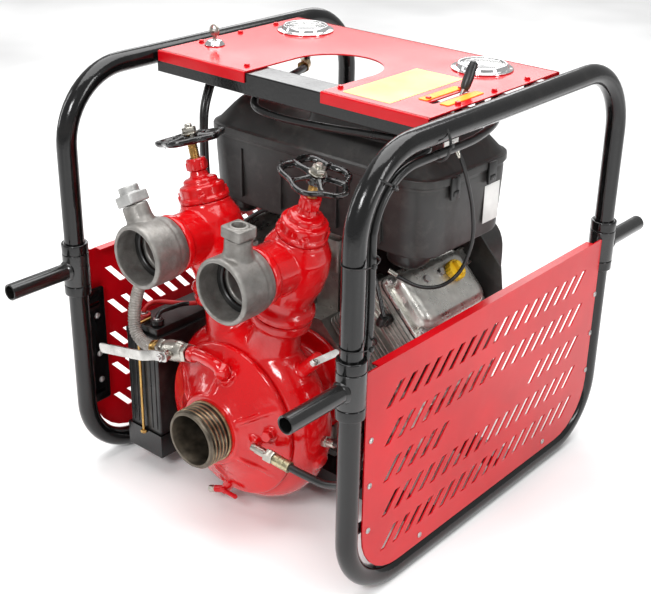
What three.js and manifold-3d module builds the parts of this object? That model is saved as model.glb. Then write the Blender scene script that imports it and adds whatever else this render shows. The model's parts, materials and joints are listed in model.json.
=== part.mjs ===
// Portable fire pump: twin-delivery centrifugal pump driven by a V-twin engine in a carrying frame.
// Millimetres, +Z up. The suction end faces -Y. The origin is on the floor, under the middle of the frame.
import * as THREE from 'three';
import { mergeVertices } from 'three/addons/utils/BufferGeometryUtils.js';
import { RoundedBoxGeometry } from 'three/addons/geometries/RoundedBoxGeometry.js';
import Module from 'manifold-3d';

const wasm = await Module();
wasm.setup();

// ---------------------------------------------------------------- driving dimensions
const GAP = 0.3; // clearance left between pieces that touch
const DEG = Math.PI / 180;

const TUBE_R = 16.85; // 33.7 mm steel tube
const TUBE_SIDES = 12;
const HALF_WIDTH = 300; // centre of the frame to a loop's plane
const HALF_LENGTH = 350; // middle of a loop to an upright's axis
const RAIL_LOW = TUBE_R; // height of a bottom rail's axis
const RAIL_HIGH = 700 + TUBE_R; // height of a top rail's axis
const BEND_TOP = 120;
const BEND_LOW = 110;
const BEND_STEPS = 5;
const TAB_X = 5.2; // a side panel's tabs stand this far out from the loop's plane
const TAB_HEIGHTS = [140, 220, 298];
const BRACKET_X = 23; // brackets under the top panel, this far in from the loop's plane
const BRACKET_STATIONS = [-80, 14, 105];

const HANDLE_Z = 388; // carrying handles
const HANDLE_REACH = 135; // upright's axis to the handle's end
const HANDLE_R = 14;
const SLEEVE_R = 22.5;
const SLEEVE_BORE = 18.3;
const SLEEVE_HEIGHT = 56;
const STOP_HEIGHT = 18;

const SHEET = 2.5; // sheet metal thickness
const PANEL_TOP = 729; // upper face of the top panel
const PANEL_HALF = 277;
const PANEL_FRONT = -168;
const PANEL_BACK = 181;
const PANEL_LIP = 18;
const NOTCH_R = 79; // round-ended notch over the middle of the engine
const NOTCH_Y = -43;

const SIDE_X = 312; // outer face of a side panel
const SIDE_HALF = 328;
const SIDE_LOW = 35;
const SIDE_HIGH = 406;
const SIDE_LIP = 15;
const SIDE_CORNER = 92;
const SLOT_ROWS = [92, 155, 217, 281, 345]; // heights of the slot rows
const SLOT_PITCH = 30.6;
const SLOT_COUNT = 18;
const SLOT_RISE = 35;
const SLOT_LEAN = 32;
const SLOT_WIDTH = 13;
const PLAIN_ROW = 2; // the row whose middle is left plain
const PLAIN_SLOTS = [5, 12];

const PUMP_Z = 188; // height of the pump and crankshaft axis
const VOLUTE_Y = -238;
const VOLUTE_R = 158;
const COVER_JOINT = -282; // plane between casing and front cover
const SUCTION_FACE = -381;
const SUCTION_BACK = -338;
const SUCTION_R = 50.7;
const SUCTION_PITCH = 7.4;
const SUCTION_BORE = 38;
const SHAFT_R = 14;
const VANES = 6;
const VANE_SWEEP = -28 * DEG;
const ENGINE_FRONT = -95;
const ENGINE_BACK = 125;

const VALVE_X = 91; // delivery valves
const VALVE_Y = -235;
const VALVE_Z = 482;
const VALVE_LEAN = 16 * DEG;
const BRANCH_FACE = -326; // joint between a valve's outlet and its coupling
const COUPLING_FACE = -396;
const COUPLING_R = 51.6;
const COUPLING_BORE = 44;
const BODY_FOOT = -98; // a valve's heights run along its stem, from its branch's axis
const BODY_TOP = 48;
const SEAT = -55;
const DISC_THICKNESS = 8;
const LIFT_RIGHT = 5.3; // how far each valve stands open
const LIFT_LEFT = 10.3;
const STEM_R = 8;
const STEM_BORE = 8.8;
const WHEEL_R = 54;
const WHEEL_SPOKES = 5;
const WHEEL_S = 143; // underside of a handwheel's rim
const LUG_TILT_RIGHT = 4 * DEG;
const LUG_TILT_LEFT = -28 * DEG;

const GAUGE_Y = 110;
const GAUGE_RIGHT_X = 178;
const GAUGE_LEFT_X = -198;
const GAUGE_HOLE_R = 39.5;
const KEY_X = -235;
const KEY_Y = -78;
const LEVER_X = 235; // throttle lever
const LEVER_Y = -60;
const LEVER_Z = 669;
const LEVER_TILT = 31 * DEG;

const HOUSING_X = 238; // engine's blower housing
const HOUSING_FRONT = -104;
const HOUSING_BACK = 135;
const HOUSING_LOW = 470;
const HOUSING_HIGH = 590;
const LID_TOP = 676; // top of the raised filter cover
const ROOF_TOP = 642;
const CYLINDER_LEAN = 45 * DEG;

const HOSE_R = 6.2;
const UPRIGHT_HOSE = 30; // a clipped hose's axis to the frame tube's axis

// ---------------------------------------------------------------- solids
// A closed solid from a geometry: shared corners are joined, slivers dropped, faces turned outwards.
function solid(geometry) {
  const bare = geometry.clone();
  bare.deleteAttribute('normal');
  bare.deleteAttribute('uv');
  const merged = mergeVertices(bare, 1e-3);
  const position = merged.attributes.position;
  const index = merged.index.array;
  const triangles = [];
  let volume = 0;
  const a = new THREE.Vector3();
  const b = new THREE.Vector3();
  const c = new THREE.Vector3();
  for (let i = 0; i < index.length; i += 3) {
    const [p, q, r] = [index[i], index[i + 1], index[i + 2]];
    if (p === q || q === r || r === p) continue;
    triangles.push(p, q, r);
    a.fromBufferAttribute(position, p);
    b.fromBufferAttribute(position, q);
    c.fromBufferAttribute(position, r);
    volume += a.dot(b.cross(c));
  }
  if (volume < 0) triangles.reverse();
  return new wasm.Manifold(new wasm.Mesh({
    numProp: 3,
    vertProperties: Float32Array.from(position.array),
    triVerts: Uint32Array.from(triangles),
  }));
}

function asSolid(shape) {
  return shape instanceof wasm.Manifold ? shape : solid(shape);
}

function join(first, ...others) {
  return others.reduce((sum, next) => sum.add(solid(next)), asSolid(first));
}

function cut(first, ...tools) {
  return tools.reduce((rest, tool) => rest.subtract(solid(tool)), asSolid(first));
}

function geometryOf(manifold) {
  const mesh = manifold.getMesh();
  const geometry = new THREE.BufferGeometry();
  geometry.setAttribute('position', new THREE.BufferAttribute(Float32Array.from(mesh.vertProperties), 3));
  geometry.setIndex(Array.from(mesh.triVerts));
  return geometry;
}

// ---------------------------------------------------------------- shapes
function box(x0, x1, y0, y1, z0, z1) {
  const geometry = new THREE.BoxGeometry(x1 - x0, y1 - y0, z1 - z0);
  return geometry.translate((x0 + x1) / 2, (y0 + y1) / 2, (z0 + z1) / 2);
}

function roundedBox(x0, x1, y0, y1, z0, z1, radius) {
  const geometry = new RoundedBoxGeometry(x1 - x0, y1 - y0, z1 - z0, 1, radius);
  return geometry.translate((x0 + x1) / 2, (y0 + y1) / 2, (z0 + z1) / 2);
}

// A turned solid about +Z. The profile is a closed outline of [radius, height] points.
function turned(profile, sides = 20) {
  const points = [...profile, profile[0]].map(([r, h]) => new THREE.Vector2(r, h));
  return new THREE.LatheGeometry(points, sides).rotateX(Math.PI / 2);
}

// The same about the pump's axis, which runs along -Y: heights become distances in front of y = 0.
function turnedForward(profile, sides = 20) {
  return turned(profile, sides).rotateX(Math.PI / 2);
}

function ring(outer, inner, low, high, sides = 16) {
  return turned([[inner, low], [outer, low], [outer, high], [inner, high]], sides);
}

function rod(radius, low, high, sides = 12) {
  return turned([[0, low], [radius, low], [radius, high], [0, high]], sides);
}

// Points move from local +Z to a direction that leaves a given point.
function aim(geometry, origin, direction) {
  const turn = new THREE.Quaternion().setFromUnitVectors(
    new THREE.Vector3(0, 0, 1), new THREE.Vector3(...direction).normalize());
  return geometry.applyQuaternion(turn).translate(...origin);
}

// A route whose stations are exactly its listed points.
class Route extends THREE.Curve {
  constructor(points) {
    super();
    this.points = points.map((point) => new THREE.Vector3(...point));
  }

  getPointAt(u, target = new THREE.Vector3()) {
    return target.copy(this.points[Math.round(u * (this.points.length - 1))]);
  }

  getTangentAt(u, target = new THREE.Vector3()) {
    const last = this.points.length - 1;
    const i = Math.round(u * last);
    return target.subVectors(this.points[Math.min(i + 1, last)], this.points[Math.max(i - 1, 0)]).normalize();
  }
}

// A tube of flats: its facets touch the circle of the given radius.
function tube(points, radius, sides = 8) {
  const section = new THREE.Shape();
  const corner = radius / Math.cos(Math.PI / sides);
  for (let i = 0; i < sides; i += 1) {
    const angle = ((i + 0.5) / sides) * 2 * Math.PI;
    const [x, y] = [corner * Math.cos(angle), corner * Math.sin(angle)];
    if (i === 0) section.moveTo(x, y);
    else section.lineTo(x, y);
  }
  section.closePath();
  return new THREE.ExtrudeGeometry(section, { steps: points.length - 1, extrudePath: new Route(points) });
}

// A smooth hose through a few hand-chosen points.
function hose(points, radius, steps, sides = 8) {
  const knots = points.map((point) => new THREE.Vector3(...point));
  const curve = new THREE.CatmullRomCurve3(knots, false, 'centripetal');
  return tube(curve.getSpacedPoints(steps).map((point) => point.toArray()), radius, sides);
}

function arc(centreA, centreB, radius, from, to, steps) {
  return Array.from({ length: steps + 1 }, (_, i) => {
    const angle = (from + ((to - from) * i) / steps) * DEG;
    return [centreA + radius * Math.cos(angle), centreB + radius * Math.sin(angle)];
  });
}

function outline(points) {
  return new THREE.Shape(points.map(([x, y]) => new THREE.Vector2(x, y)));
}

function hole(points) {
  return new THREE.Path(points.map(([x, y]) => new THREE.Vector2(x, y)));
}

function circle(x, y, radius, sides) {
  return arc(x, y, radius, 0, 360 - 360 / sides, sides - 1);
}

function prism(shape, low, high) {
  return new THREE.ExtrudeGeometry(shape, { depth: high - low, bevelEnabled: false }).translate(0, 0, low);
}

// An outline drawn in Y and Z, thickened along X.
function prismX(shape, low, high) {
  return prism(shape, low, high).rotateY(Math.PI / 2).rotateX(Math.PI / 2);
}

function roundedOutline(x0, x1, y0, y1, radii, steps = 4) {
  const [r00, r10, r11, r01] = radii;
  return [
    ...arc(x0 + r00, y0 + r00, r00, 180, 270, steps),
    ...arc(x1 - r10, y0 + r10, r10, 270, 360, steps),
    ...arc(x1 - r11, y1 - r11, r11, 0, 90, steps),
    ...arc(x0 + r01, y1 - r01, r01, 90, 180, steps),
  ];
}

// ---------------------------------------------------------------- materials and placing
const FINISHES = {
  frameBlack: { color: 0x0b0b0c, roughness: 0.25, metalness: 0.2 },
  panelRed: { color: 0xc81420, roughness: 0.25, metalness: 0.1 },
  pumpRed: { color: 0xd01018, roughness: 0.2, metalness: 0.1 },
  plasticBlack: { color: 0x1c1b1b, roughness: 0.55, metalness: 0 },
  rubberBlack: { color: 0x101010, roughness: 0.7, metalness: 0 },
  castGrey: { color: 0x6e6c68, roughness: 0.5, metalness: 0.8 },
  aluminium: { color: 0xb5b2aa, roughness: 0.45, metalness: 0.8 },
  brass: { color: 0xa57c3c, roughness: 0.35, metalness: 1 },
  bronze: { color: 0x4d4436, roughness: 0.4, metalness: 0.9 },
  chrome: { color: 0xd8d8d8, roughness: 0.1, metalness: 1 },
  steel: { color: 0xb8b8b6, roughness: 0.35, metalness: 0.9 },
  braid: { color: 0x9a938a, roughness: 0.4, metalness: 0.3 },
  yellow: { color: 0xe0b820, roughness: 0.4, metalness: 0 },
};

const pump = new THREE.Group();

function place(name, shape, finish, parent = pump) {
  const geometry = geometryOf(asSolid(shape));
  const mesh = new THREE.Mesh(geometry, new THREE.MeshStandardMaterial(FINISHES[finish]));
  mesh.name = name;
  parent.add(mesh);
  return mesh;
}

function groupAt(x, y, z, lean = 0) {
  const group = new THREE.Group();
  group.position.set(x, y, z);
  group.rotation.y = lean;
  pump.add(group);
  return group;
}

// ---------------------------------------------------------------- carrying frame
// Half of a loop in the plane x = 0, from the middle of the bottom rail to the middle of the top rail.
function loopPath() {
  const low = arc(HALF_LENGTH - BEND_LOW, RAIL_LOW + BEND_LOW, BEND_LOW, -90, 0, BEND_STEPS);
  const high = arc(HALF_LENGTH - BEND_TOP, RAIL_HIGH - BEND_TOP, BEND_TOP, 0, 90, BEND_STEPS);
  return [[0, RAIL_LOW], ...low, ...high, [0, RAIL_HIGH]].map(([y, z]) => [0, y, z]);
}

function frameLoop(side) {
  const half = tube(loopPath(), TUBE_R, TUBE_SIDES);
  let loop = solid(half).add(solid(half.clone().scale(1, -1, 1)));
  const stopLow = HANDLE_Z - SLEEVE_HEIGHT / 2 - GAP - STOP_HEIGHT;
  const stopHigh = HANDLE_Z + SLEEVE_HEIGHT / 2 + GAP;
  for (const end of [-1, 1]) {
    for (const low of [stopLow, stopHigh]) {
      loop = join(loop, rod(SLEEVE_R, low, low + STOP_HEIGHT).translate(0, end * HALF_LENGTH, 0));
    }
    for (const height of TAB_HEIGHTS) {
      const [y0, y1] = [end * (SIDE_HALF - 22), end * (HALF_LENGTH - 8)].sort((a, b) => a - b);
      loop = join(loop, box(side * TAB_X - 2, side * TAB_X + 2, y0, y1, height - 9, height + 9));
    }
  }
  const inward = -side * BRACKET_X;
  for (const y of BRACKET_STATIONS) {
    loop = join(loop, box(inward - 12, inward + 12, y - 9, y + 9, RAIL_HIGH - 4, PANEL_TOP - SHEET - GAP));
  }
  return loop;
}

place('frame_loop_right', frameLoop(1), 'frameBlack').position.x = HALF_WIDTH;
const plate = box(-2, 2, -HALF_LENGTH + 8, -296, 118, 338);
place('frame_loop_left', join(frameLoop(-1), plate), 'frameBlack').position.x = -HALF_WIDTH;

// A folded channel under the front of the top panel, open below.
function topChannel() {
  const wall = 3;
  const half = HALF_WIDTH - TUBE_R / Math.cos(Math.PI / TUBE_SIDES) - GAP;
  const [front, back] = [PANEL_FRONT + SHEET + GAP, -112];
  const [low, high] = [692, PANEL_TOP - SHEET - GAP];
  return cut(box(-half, half, front, back, low, high),
    box(-half - 1, half + 1, front + wall, back - wall, low - 1, high - wall));
}
place('top_channel', topChannel(), 'frameBlack');

// Cross members and engine bearers, with the battery's tray welded to the front one.
const BASE_LOW = 2 * TUBE_R + GAP;
const BASE_HIGH = BASE_LOW + 24;
const BATTERY = { x0: -250, x1: -172, y0: -293, y1: -112, z0: 62, z1: 288 };
const BASE_HALF = 306; // half length of a cross member
const BEARER = [72, 110]; // inner and outer side of an engine bearer
function engineBase() {
  const tray = cut(
    box(BATTERY.x0 - 4, BATTERY.x1 + 4, BATTERY.y0 - 4, BATTERY.y1 + 4, 40, 84),
    box(BATTERY.x0 - GAP, BATTERY.x1 + GAP, BATTERY.y0 - GAP, BATTERY.y1 + GAP, BATTERY.z0 - GAP, 90));
  return join(tray,
    box(-BASE_HALF, BASE_HALF, -150, -108, BASE_LOW, BASE_HIGH),
    box(-BASE_HALF, BASE_HALF, 80, 120, BASE_LOW, BASE_HIGH),
    box(-BEARER[1], -BEARER[0], -110, 82, BASE_LOW, BASE_HIGH),
    box(BEARER[0], BEARER[1], -110, 82, BASE_LOW, BASE_HIGH));
}
place('engine_base', engineBase(), 'frameBlack');

// A handle folds about its upright, so its sleeve is bored clear of the tube.
function carryHandle() {
  const sleeve = ring(SLEEVE_R, SLEEVE_BORE, -SLEEVE_HEIGHT / 2, SLEEVE_HEIGHT / 2);
  const bar = aim(rod(HANDLE_R, SLEEVE_BORE + 1.5, HANDLE_REACH), [0, 0, 0], [0, -1, 0]);
  return join(sleeve, bar);
}
for (const [sideName, side] of [['right', 1], ['left', -1]]) {
  for (const [endName, end] of [['front', -1], ['rear', 1]]) {
    const mesh = place(`carry_handle_${endName}_${sideName}`, carryHandle(), 'frameBlack');
    mesh.position.set(side * HALF_WIDTH, end * HALF_LENGTH, HANDLE_Z);
    mesh.rotation.z = end < 0 ? 0 : Math.PI;
  }
}

// ---------------------------------------------------------------- panels and controls
// Outline of the top panel: the notch opens at the front and ends in a half circle.
function topPanel() {
  const sheet = outline([
    [-PANEL_HALF, PANEL_FRONT], [-NOTCH_R, PANEL_FRONT],
    ...arc(0, NOTCH_Y, NOTCH_R, 180, 0, 14),
    [NOTCH_R, PANEL_FRONT], [PANEL_HALF, PANEL_FRONT],
    [PANEL_HALF, PANEL_BACK], [-PANEL_HALF, PANEL_BACK],
  ]);
  const [left, right, front, back] = [LEVER_X - 6, LEVER_X + 6, LEVER_Y - 46, LEVER_Y + 48];
  sheet.holes.push(
    hole(circle(GAUGE_RIGHT_X, GAUGE_Y, GAUGE_HOLE_R, 16)),
    hole(circle(GAUGE_LEFT_X, GAUGE_Y, GAUGE_HOLE_R, 16)),
    hole(circle(KEY_X, KEY_Y, 11.5, 12)),
    hole([[left, front], [right, front], [right, back], [left, back]]),
  );
  const low = PANEL_TOP - PANEL_LIP;
  return join(prism(sheet, PANEL_TOP - SHEET, PANEL_TOP),
    box(-PANEL_HALF, -NOTCH_R, PANEL_FRONT, PANEL_FRONT + SHEET, low, PANEL_TOP - 1),
    box(NOTCH_R, PANEL_HALF, PANEL_FRONT, PANEL_FRONT + SHEET, low, PANEL_TOP - 1),
    box(-PANEL_HALF, PANEL_HALF, PANEL_BACK - SHEET, PANEL_BACK, low, PANEL_TOP - 1));
}
place('top_panel', topPanel(), 'panelRed');

// A cutter for one slanted slot of the side panel, its top further along +Y than its foot.
function slot(y, z) {
  const lift = SLOT_RISE / 2;
  return prismX(outline([
    [y, z - lift], [y + SLOT_WIDTH, z - lift],
    [y + SLOT_WIDTH + SLOT_LEAN, z + lift], [y + SLOT_LEAN, z + lift],
  ]), SIDE_X - SHEET - 1, SIDE_X + 1);
}

function sidePanel() {
  const corners = [SIDE_CORNER, SIDE_CORNER, 3, 3];
  const edge = roundedOutline(-SIDE_HALF, SIDE_HALF, SIDE_LOW, SIDE_HIGH, corners, 7);
  const slots = [];
  const first = -(SLOT_PITCH * (SLOT_COUNT - 1) + SLOT_LEAN + SLOT_WIDTH) / 2;
  SLOT_ROWS.forEach((z, row) => {
    for (let i = 0; i < SLOT_COUNT; i += 1) {
      const plain = row === PLAIN_ROW && i >= PLAIN_SLOTS[0] && i <= PLAIN_SLOTS[1];
      if (!plain) slots.push(slot(first + i * SLOT_PITCH, z));
    }
  });
  const lipHalf = SIDE_HALF - 28;
  const lip = box(SIDE_X - SIDE_LIP, SIDE_X - 1, -lipHalf, lipHalf, SIDE_HIGH - SHEET, SIDE_HIGH);
  return cut(join(prismX(outline(edge), SIDE_X - SHEET, SIDE_X), lip), ...slots);
}
place('side_panel_right', sidePanel(), 'panelRed');
place('side_panel_left', sidePanel(), 'panelRed').rotation.z = Math.PI;

// A gauge hangs in its panel hole by its flange; the dial lies below the bezel.
function gaugeCase() {
  return turned([
    [0, -39], [7, -39], [7, -29], [38, -29], [38, GAP], [50, GAP], [50, 2.5],
    [40, 3], [40, 9], [35, 9], [35, 1.5], [0, 1.5],
  ], 16);
}

function needle() {
  return join(rod(4, 2, 5, 8), box(-1.2, 1.2, -29, 9, 3, 4.5));
}
for (const [name, x] of [['pressure', GAUGE_RIGHT_X], ['vacuum', GAUGE_LEFT_X]]) {
  const group = groupAt(x, GAUGE_Y, PANEL_TOP);
  place(`${name}_gauge_case`, gaugeCase(), 'chrome', group);
  place(`${name}_gauge_needle`, needle(), 'rubberBlack', group).rotation.z = -45 * DEG;
}

const keyGroup = groupAt(KEY_X, KEY_Y, PANEL_TOP);
const KEY_FACE = 8; // front of the lock barrel above the panel
place('key_switch', turned([
  [0, -30], [10.5, -30], [10.5, GAP], [19, GAP], [19, 3], [12, KEY_FACE], [0, KEY_FACE],
], 12), 'chrome', keyGroup);
place('ignition_key', join(box(-1.5, 1.5, -5, 5, KEY_FACE + GAP, 20), box(-1.5, 1.5, -12, 12, 18, 34)),
  'steel', keyGroup);

// The throttle lever swings in its slot on a bracket under the panel.
const throttleGroup = groupAt(LEVER_X, LEVER_Y, LEVER_Z);
const throttleCeiling = PANEL_TOP - SHEET - GAP - LEVER_Z;
place('throttle_bracket', join(box(7, 10, -18, 18, -14, throttleCeiling),
  box(7, 30, -18, 18, throttleCeiling - 3, throttleCeiling),
  aim(rod(4, -16, -6, 8), [0, 0, 0], [-1, 0, 0])), 'steel', throttleGroup);
function throttleLever() {
  const stick = cut(box(-2.5, 2.5, -8, 8, -9, 78), aim(rod(4.6, -9, 9, 8), [0, 0, 0], [1, 0, 0]));
  return join(stick, turned([[0, 76], [7, 76], [8, 82], [8, 112], [5.5, 118], [0, 118]], 10));
}
place('throttle_lever', throttleLever(), 'rubberBlack', throttleGroup).rotation.x = -LEVER_TILT;

// ---------------------------------------------------------------- pump
const pumpGroup = groupAt(0, 0, PUMP_Z);

function neckShape(side, profile, sides) {
  return turned(profile, sides).rotateY(side * VALVE_LEAN)
    .translate(side * VALVE_X, VALVE_Y, VALVE_Z - PUMP_Z);
}

function voluteCasing() {
  let casing = solid(turnedForward([
    [0, 282], [136, 282], [150, 268], [VOLUTE_R, 250], [VOLUTE_R, 226], [150, 208], [134, 194], [74, 188],
    [66, 150], [66, 112], [96, 108], [96, -ENGINE_FRONT + GAP], [0, -ENGINE_FRONT + GAP],
  ], 24));
  for (const side of [1, -1]) {
    casing = join(casing, neckShape(side, [
      [0, -200], [46, -200], [42, -160], [40, -135], [40, -117], [51.5, -115], [51.5, -98], [0, -98],
    ], 18));
  }
  casing = join(casing, aim(rod(12, 148, 206), [0, VOLUTE_Y, 0], [1, 0, 1]));
  casing = cut(casing,
    turnedForward([[0, 283], [118, 283], [118, 270], [134, 252], [134, 224], [112, 206], [0, 206]], 24),
    turnedForward([[0, 207], [30, 207], [30, 190], [17.5, 190], [17.5, 170], [0, 170]], 16),
    turnedForward([[0, 171], [34, 171], [34, 90], [0, 90]], 16));
  const waterway = [[0, -185], [31, -185], [31, -97], [0, -97]];
  return cut(casing, neckShape(1, waterway, 16), neckShape(-1, waterway, 16));
}
place('volute_casing', voluteCasing(), 'pumpRed', pumpGroup);

function frontCover() {
  const joint = -COVER_JOINT + GAP;
  const face = -SUCTION_BACK - GAP;
  return join(turnedForward([
    [SUCTION_BORE, 268], [46, 268], [46, joint], [132, joint], [132, 294], [118, 299], [92, 312], [74, 325],
    [62, 334], [60, face], [SUCTION_BORE, face],
  ], 24),
  aim(rod(12, 0, 30, 10), [15, -296, 74], [0, -0.62, 0.78]),
  aim(rod(9, 0, 30, 10), [80, -306, 2], [0, -1, 0]),
  aim(rod(8, 0, 34, 8), [0, -290, -122], [-0.55, -0.1, -0.83]));
}
place('front_cover', frontCover(), 'pumpRed', pumpGroup);

// Male round thread, drawn as plain rings.
function suctionAdaptor() {
  const root = SUCTION_R - 3.2;
  const rings = [0, 1, 2, 3, 4].flatMap((i) => {
    const low = 344 + SUCTION_PITCH * i;
    return [[root, low], [SUCTION_R, low + 1.5], [SUCTION_R, low + 4], [root, low + 5.5]];
  });
  return turnedForward([[SUCTION_BORE, -SUCTION_BACK], [root, -SUCTION_BACK], ...rings,
    [root - 2, -SUCTION_FACE], [SUCTION_BORE, -SUCTION_FACE]], 18);
}
place('suction_adaptor', suctionAdaptor(), 'bronze', pumpGroup);

// Open impeller with swept-back vanes.
function impeller() {
  let wheel = turnedForward([[14.9, 262], [24, 260], [32, 228], [102, 221], [102, 214], [14.9, 212]], 18);
  for (let i = 0; i < VANES; i += 1) {
    const vane = box(24, 94, -2, 2, 216, 258).rotateZ(VANE_SWEEP).translate(8, 0, 0);
    wheel = join(wheel, vane.rotateZ((i * 2 * Math.PI) / VANES).rotateX(Math.PI / 2));
  }
  return wheel;
}
place('impeller', impeller(), 'bronze', pumpGroup);
place('pump_shaft', turnedForward([[0, 20], [SHAFT_R, 20], [SHAFT_R, 266], [0, 266]], 12),
  'steel', pumpGroup);
place('shaft_seal', turnedForward([[15.4, 190.4], [29, 190.4], [29, 202], [15.4, 202]], 16),
  'rubberBlack', pumpGroup);

// ---------------------------------------------------------------- delivery valves
function valveBody() {
  const branch = VALVE_Y - BRANCH_FACE - GAP;
  const shell = join(turned([
    [0, BODY_FOOT + GAP], [51.5, BODY_FOOT + GAP], [51.5, -82], [41, -76], [44, -60], [53, -32], [55, -5],
    [52, 24], [43, 40], [39.5, BODY_TOP], [0, BODY_TOP],
  ], 18), turnedForward([[0, 0], [45, 0], [45, 78], [47, 80], [47, branch], [0, branch]], 16));
  return cut(shell, turned([
    [0, BODY_FOOT - 1], [31, BODY_FOOT - 1], [31, SEAT - 7], [27, SEAT - 5], [27, SEAT], [34, SEAT],
    [44, SEAT + 7], [44, 28], [34, 38], [34, BODY_TOP + 1], [0, BODY_TOP + 1],
  ], 16), turnedForward([[0, 0], [33, 0], [33, 93], [0, 93]], 16));
}

function bonnet() {
  return turned([
    [STEM_BORE, BODY_TOP + GAP], [39.5, BODY_TOP + GAP], [39.5, 80], [30, 88], [17, 92], [15, 98],
    [18.5, 99], [18.5, 116], [STEM_BORE, 116],
  ], 16);
}

function handwheel() {
  const rim = (angle) => WHEEL_R - 4 + 4 * Math.cos(WHEEL_SPOKES * angle);
  const point = (radius, angle) => [radius * Math.cos(angle), radius * Math.sin(angle)];
  const steps = 6 * WHEEL_SPOKES;
  const angles = Array.from({ length: steps }, (_, i) => (i * 2 * Math.PI) / steps);
  const wheel = outline(angles.map((angle) => point(rim(angle), angle)));
  for (let i = 0; i < WHEEL_SPOKES; i += 1) {
    const middle = (i * 2 * Math.PI) / WHEEL_SPOKES;
    const inner = [-0.3, 0.3].map((offset) => point(20, middle + offset));
    const outer = [0.46, 0.2, -0.2, -0.46].map((offset) => point(rim(middle + offset) - 12, middle + offset));
    wheel.holes.push(hole([...inner, ...outer]));
  }
  return cut(join(prism(wheel, WHEEL_S, WHEEL_S + 10), rod(15, WHEEL_S - 3, WHEEL_S + 13)),
    rod(STEM_BORE, WHEEL_S - 9, WHEEL_S + 19, 16));
}

for (const [name, side, lift] of [['right', 1, LIFT_RIGHT], ['left', -1, LIFT_LEFT]]) {
  const group = groupAt(side * VALVE_X, VALVE_Y, VALVE_Z, side * VALVE_LEAN);
  const discTop = SEAT + lift + DISC_THICKNESS;
  const nut = WHEEL_S + 13 + GAP;
  place(`delivery_valve_body_${name}`, valveBody(), 'pumpRed', group);
  place(`delivery_valve_bonnet_${name}`, bonnet(), 'pumpRed', group);
  place(`delivery_valve_disc_${name}`, rod(32, SEAT + lift, discTop), 'brass', group);
  place(`delivery_valve_stem_${name}`, turned([
    [0, discTop + GAP], [STEM_R, discTop + GAP], [STEM_R, nut], [13, nut], [13, nut + 12], [6, nut + 16],
    [0, nut + 16],
  ], 12), 'brass', group);
  place(`handwheel_${name}`, handwheel(), 'frameBlack', group);
}

// Female delivery couplings, each with a sprung lug in a boss on its rim.
const LUG_Y = -361;
const BOSS_TOP = 78;
function coupling() {
  const [front, back] = [-COUPLING_FACE, -BRANCH_FACE];
  const shell = turnedForward([
    [COUPLING_BORE, front], [49, front], [COUPLING_R, front - 4], [COUPLING_R, back + 12], [47, back],
    [33, back], [33, back + 20], [COUPLING_BORE, back + 26],
  ], 20);
  return cut(join(shell, rod(21, 46, BOSS_TOP).translate(0, LUG_Y, 0)),
    rod(7.4, 38, BOSS_TOP + 1).translate(0, LUG_Y, 0));
}

function releaseLug() {
  const head = cut(roundedBox(-20, 20, LUG_Y - 20, LUG_Y + 20, BOSS_TOP + GAP, 97, 4),
    rod(12, 88, 98).translate(0, LUG_Y, 0));
  return join(head, rod(6.4, 41, 82, 8).translate(0, LUG_Y, 0));
}
for (const [name, side, tilt] of [['right', 1, LUG_TILT_RIGHT], ['left', -1, LUG_TILT_LEFT]]) {
  const group = groupAt(side * VALVE_X, 0, VALVE_Z, tilt);
  place(`delivery_coupling_${name}`, coupling(), 'castGrey', group);
  place(`release_lug_${name}`, releaseLug(), 'castGrey', group);
}

// ---------------------------------------------------------------- priming line and cocks
const BALL_VALVE_LEAN = -102 * DEG; // turns local +Z along the line, out to the left
const ballGroup = groupAt(-98, -318, 290, BALL_VALVE_LEAN);
place('ball_valve_body', join(cut(turned([
  [0, -37], [16, -37], [16, -22], [20, -14], [20, 14], [16, 22], [16, 37], [0, 37],
], 8), rod(9, 10, 38, 8)), aim(rod(8, 14, 26, 8), [0, 0, 0], [0, -1, 0])), 'brass', ballGroup);
// The lever steps out past the valve's hexagons and runs on parallel.
place('ball_valve_lever', prismX(outline([
  [-26.3, -12], [-26.3, 18], [-36.3, 44], [-36.3, 150], [-39.5, 150], [-39.5, 43], [-29.5, 17], [-29.5, -12],
]), -9, 9), 'steel', ballGroup);
place('priming_pipe', hose([
  [-61, -318, 297.8], [-38, -319, 302.5], [-14, -322, 306], [6, -324.5, 303], [14, -322, 294.6],
  [15, -316, 287.2],
], 9, 8, 10), 'pumpRed');

place('drain_cock_lever', box(-5, 34, -17, -13, -5, 5), 'panelRed', groupAt(-10, -289, 50));
place('vent_cock_lever', box(-8, 60, -2, 2, -6, 6), 'steel', groupAt(150, -254, 334, -37 * DEG));

// ---------------------------------------------------------------- engine
function prismY(shape, y0, y1) {
  return prism(shape, -y1, -y0).rotateX(Math.PI / 2);
}

const CYLINDER_FOOT = 100; // crank axis to the foot of a cylinder
const HEAD_TOP = 262;
const COVER_TOP = 298;
function crankcase() {
  const peak = PUMP_Z + (CYLINDER_FOOT - GAP) * Math.SQRT2;
  const block = outline([
    [-118, BASE_HIGH + GAP], [118, BASE_HIGH + GAP], [125, 80], [125, peak - 125], [24, peak - 24],
    [-24, peak - 24], [-125, peak - 125], [-125, 80],
  ]);
  const intake = box(-24, 24, -50, 50, peak - 30, HOUSING_LOW - GAP);
  return cut(join(prismY(block, ENGINE_FRONT, ENGINE_BACK), intake),
    turnedForward([[0, 96], [20, 96], [20, 14], [0, 14]], 16).translate(0, 0, PUMP_Z));
}
place('engine_crankcase', crankcase(), 'aluminium');

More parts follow.
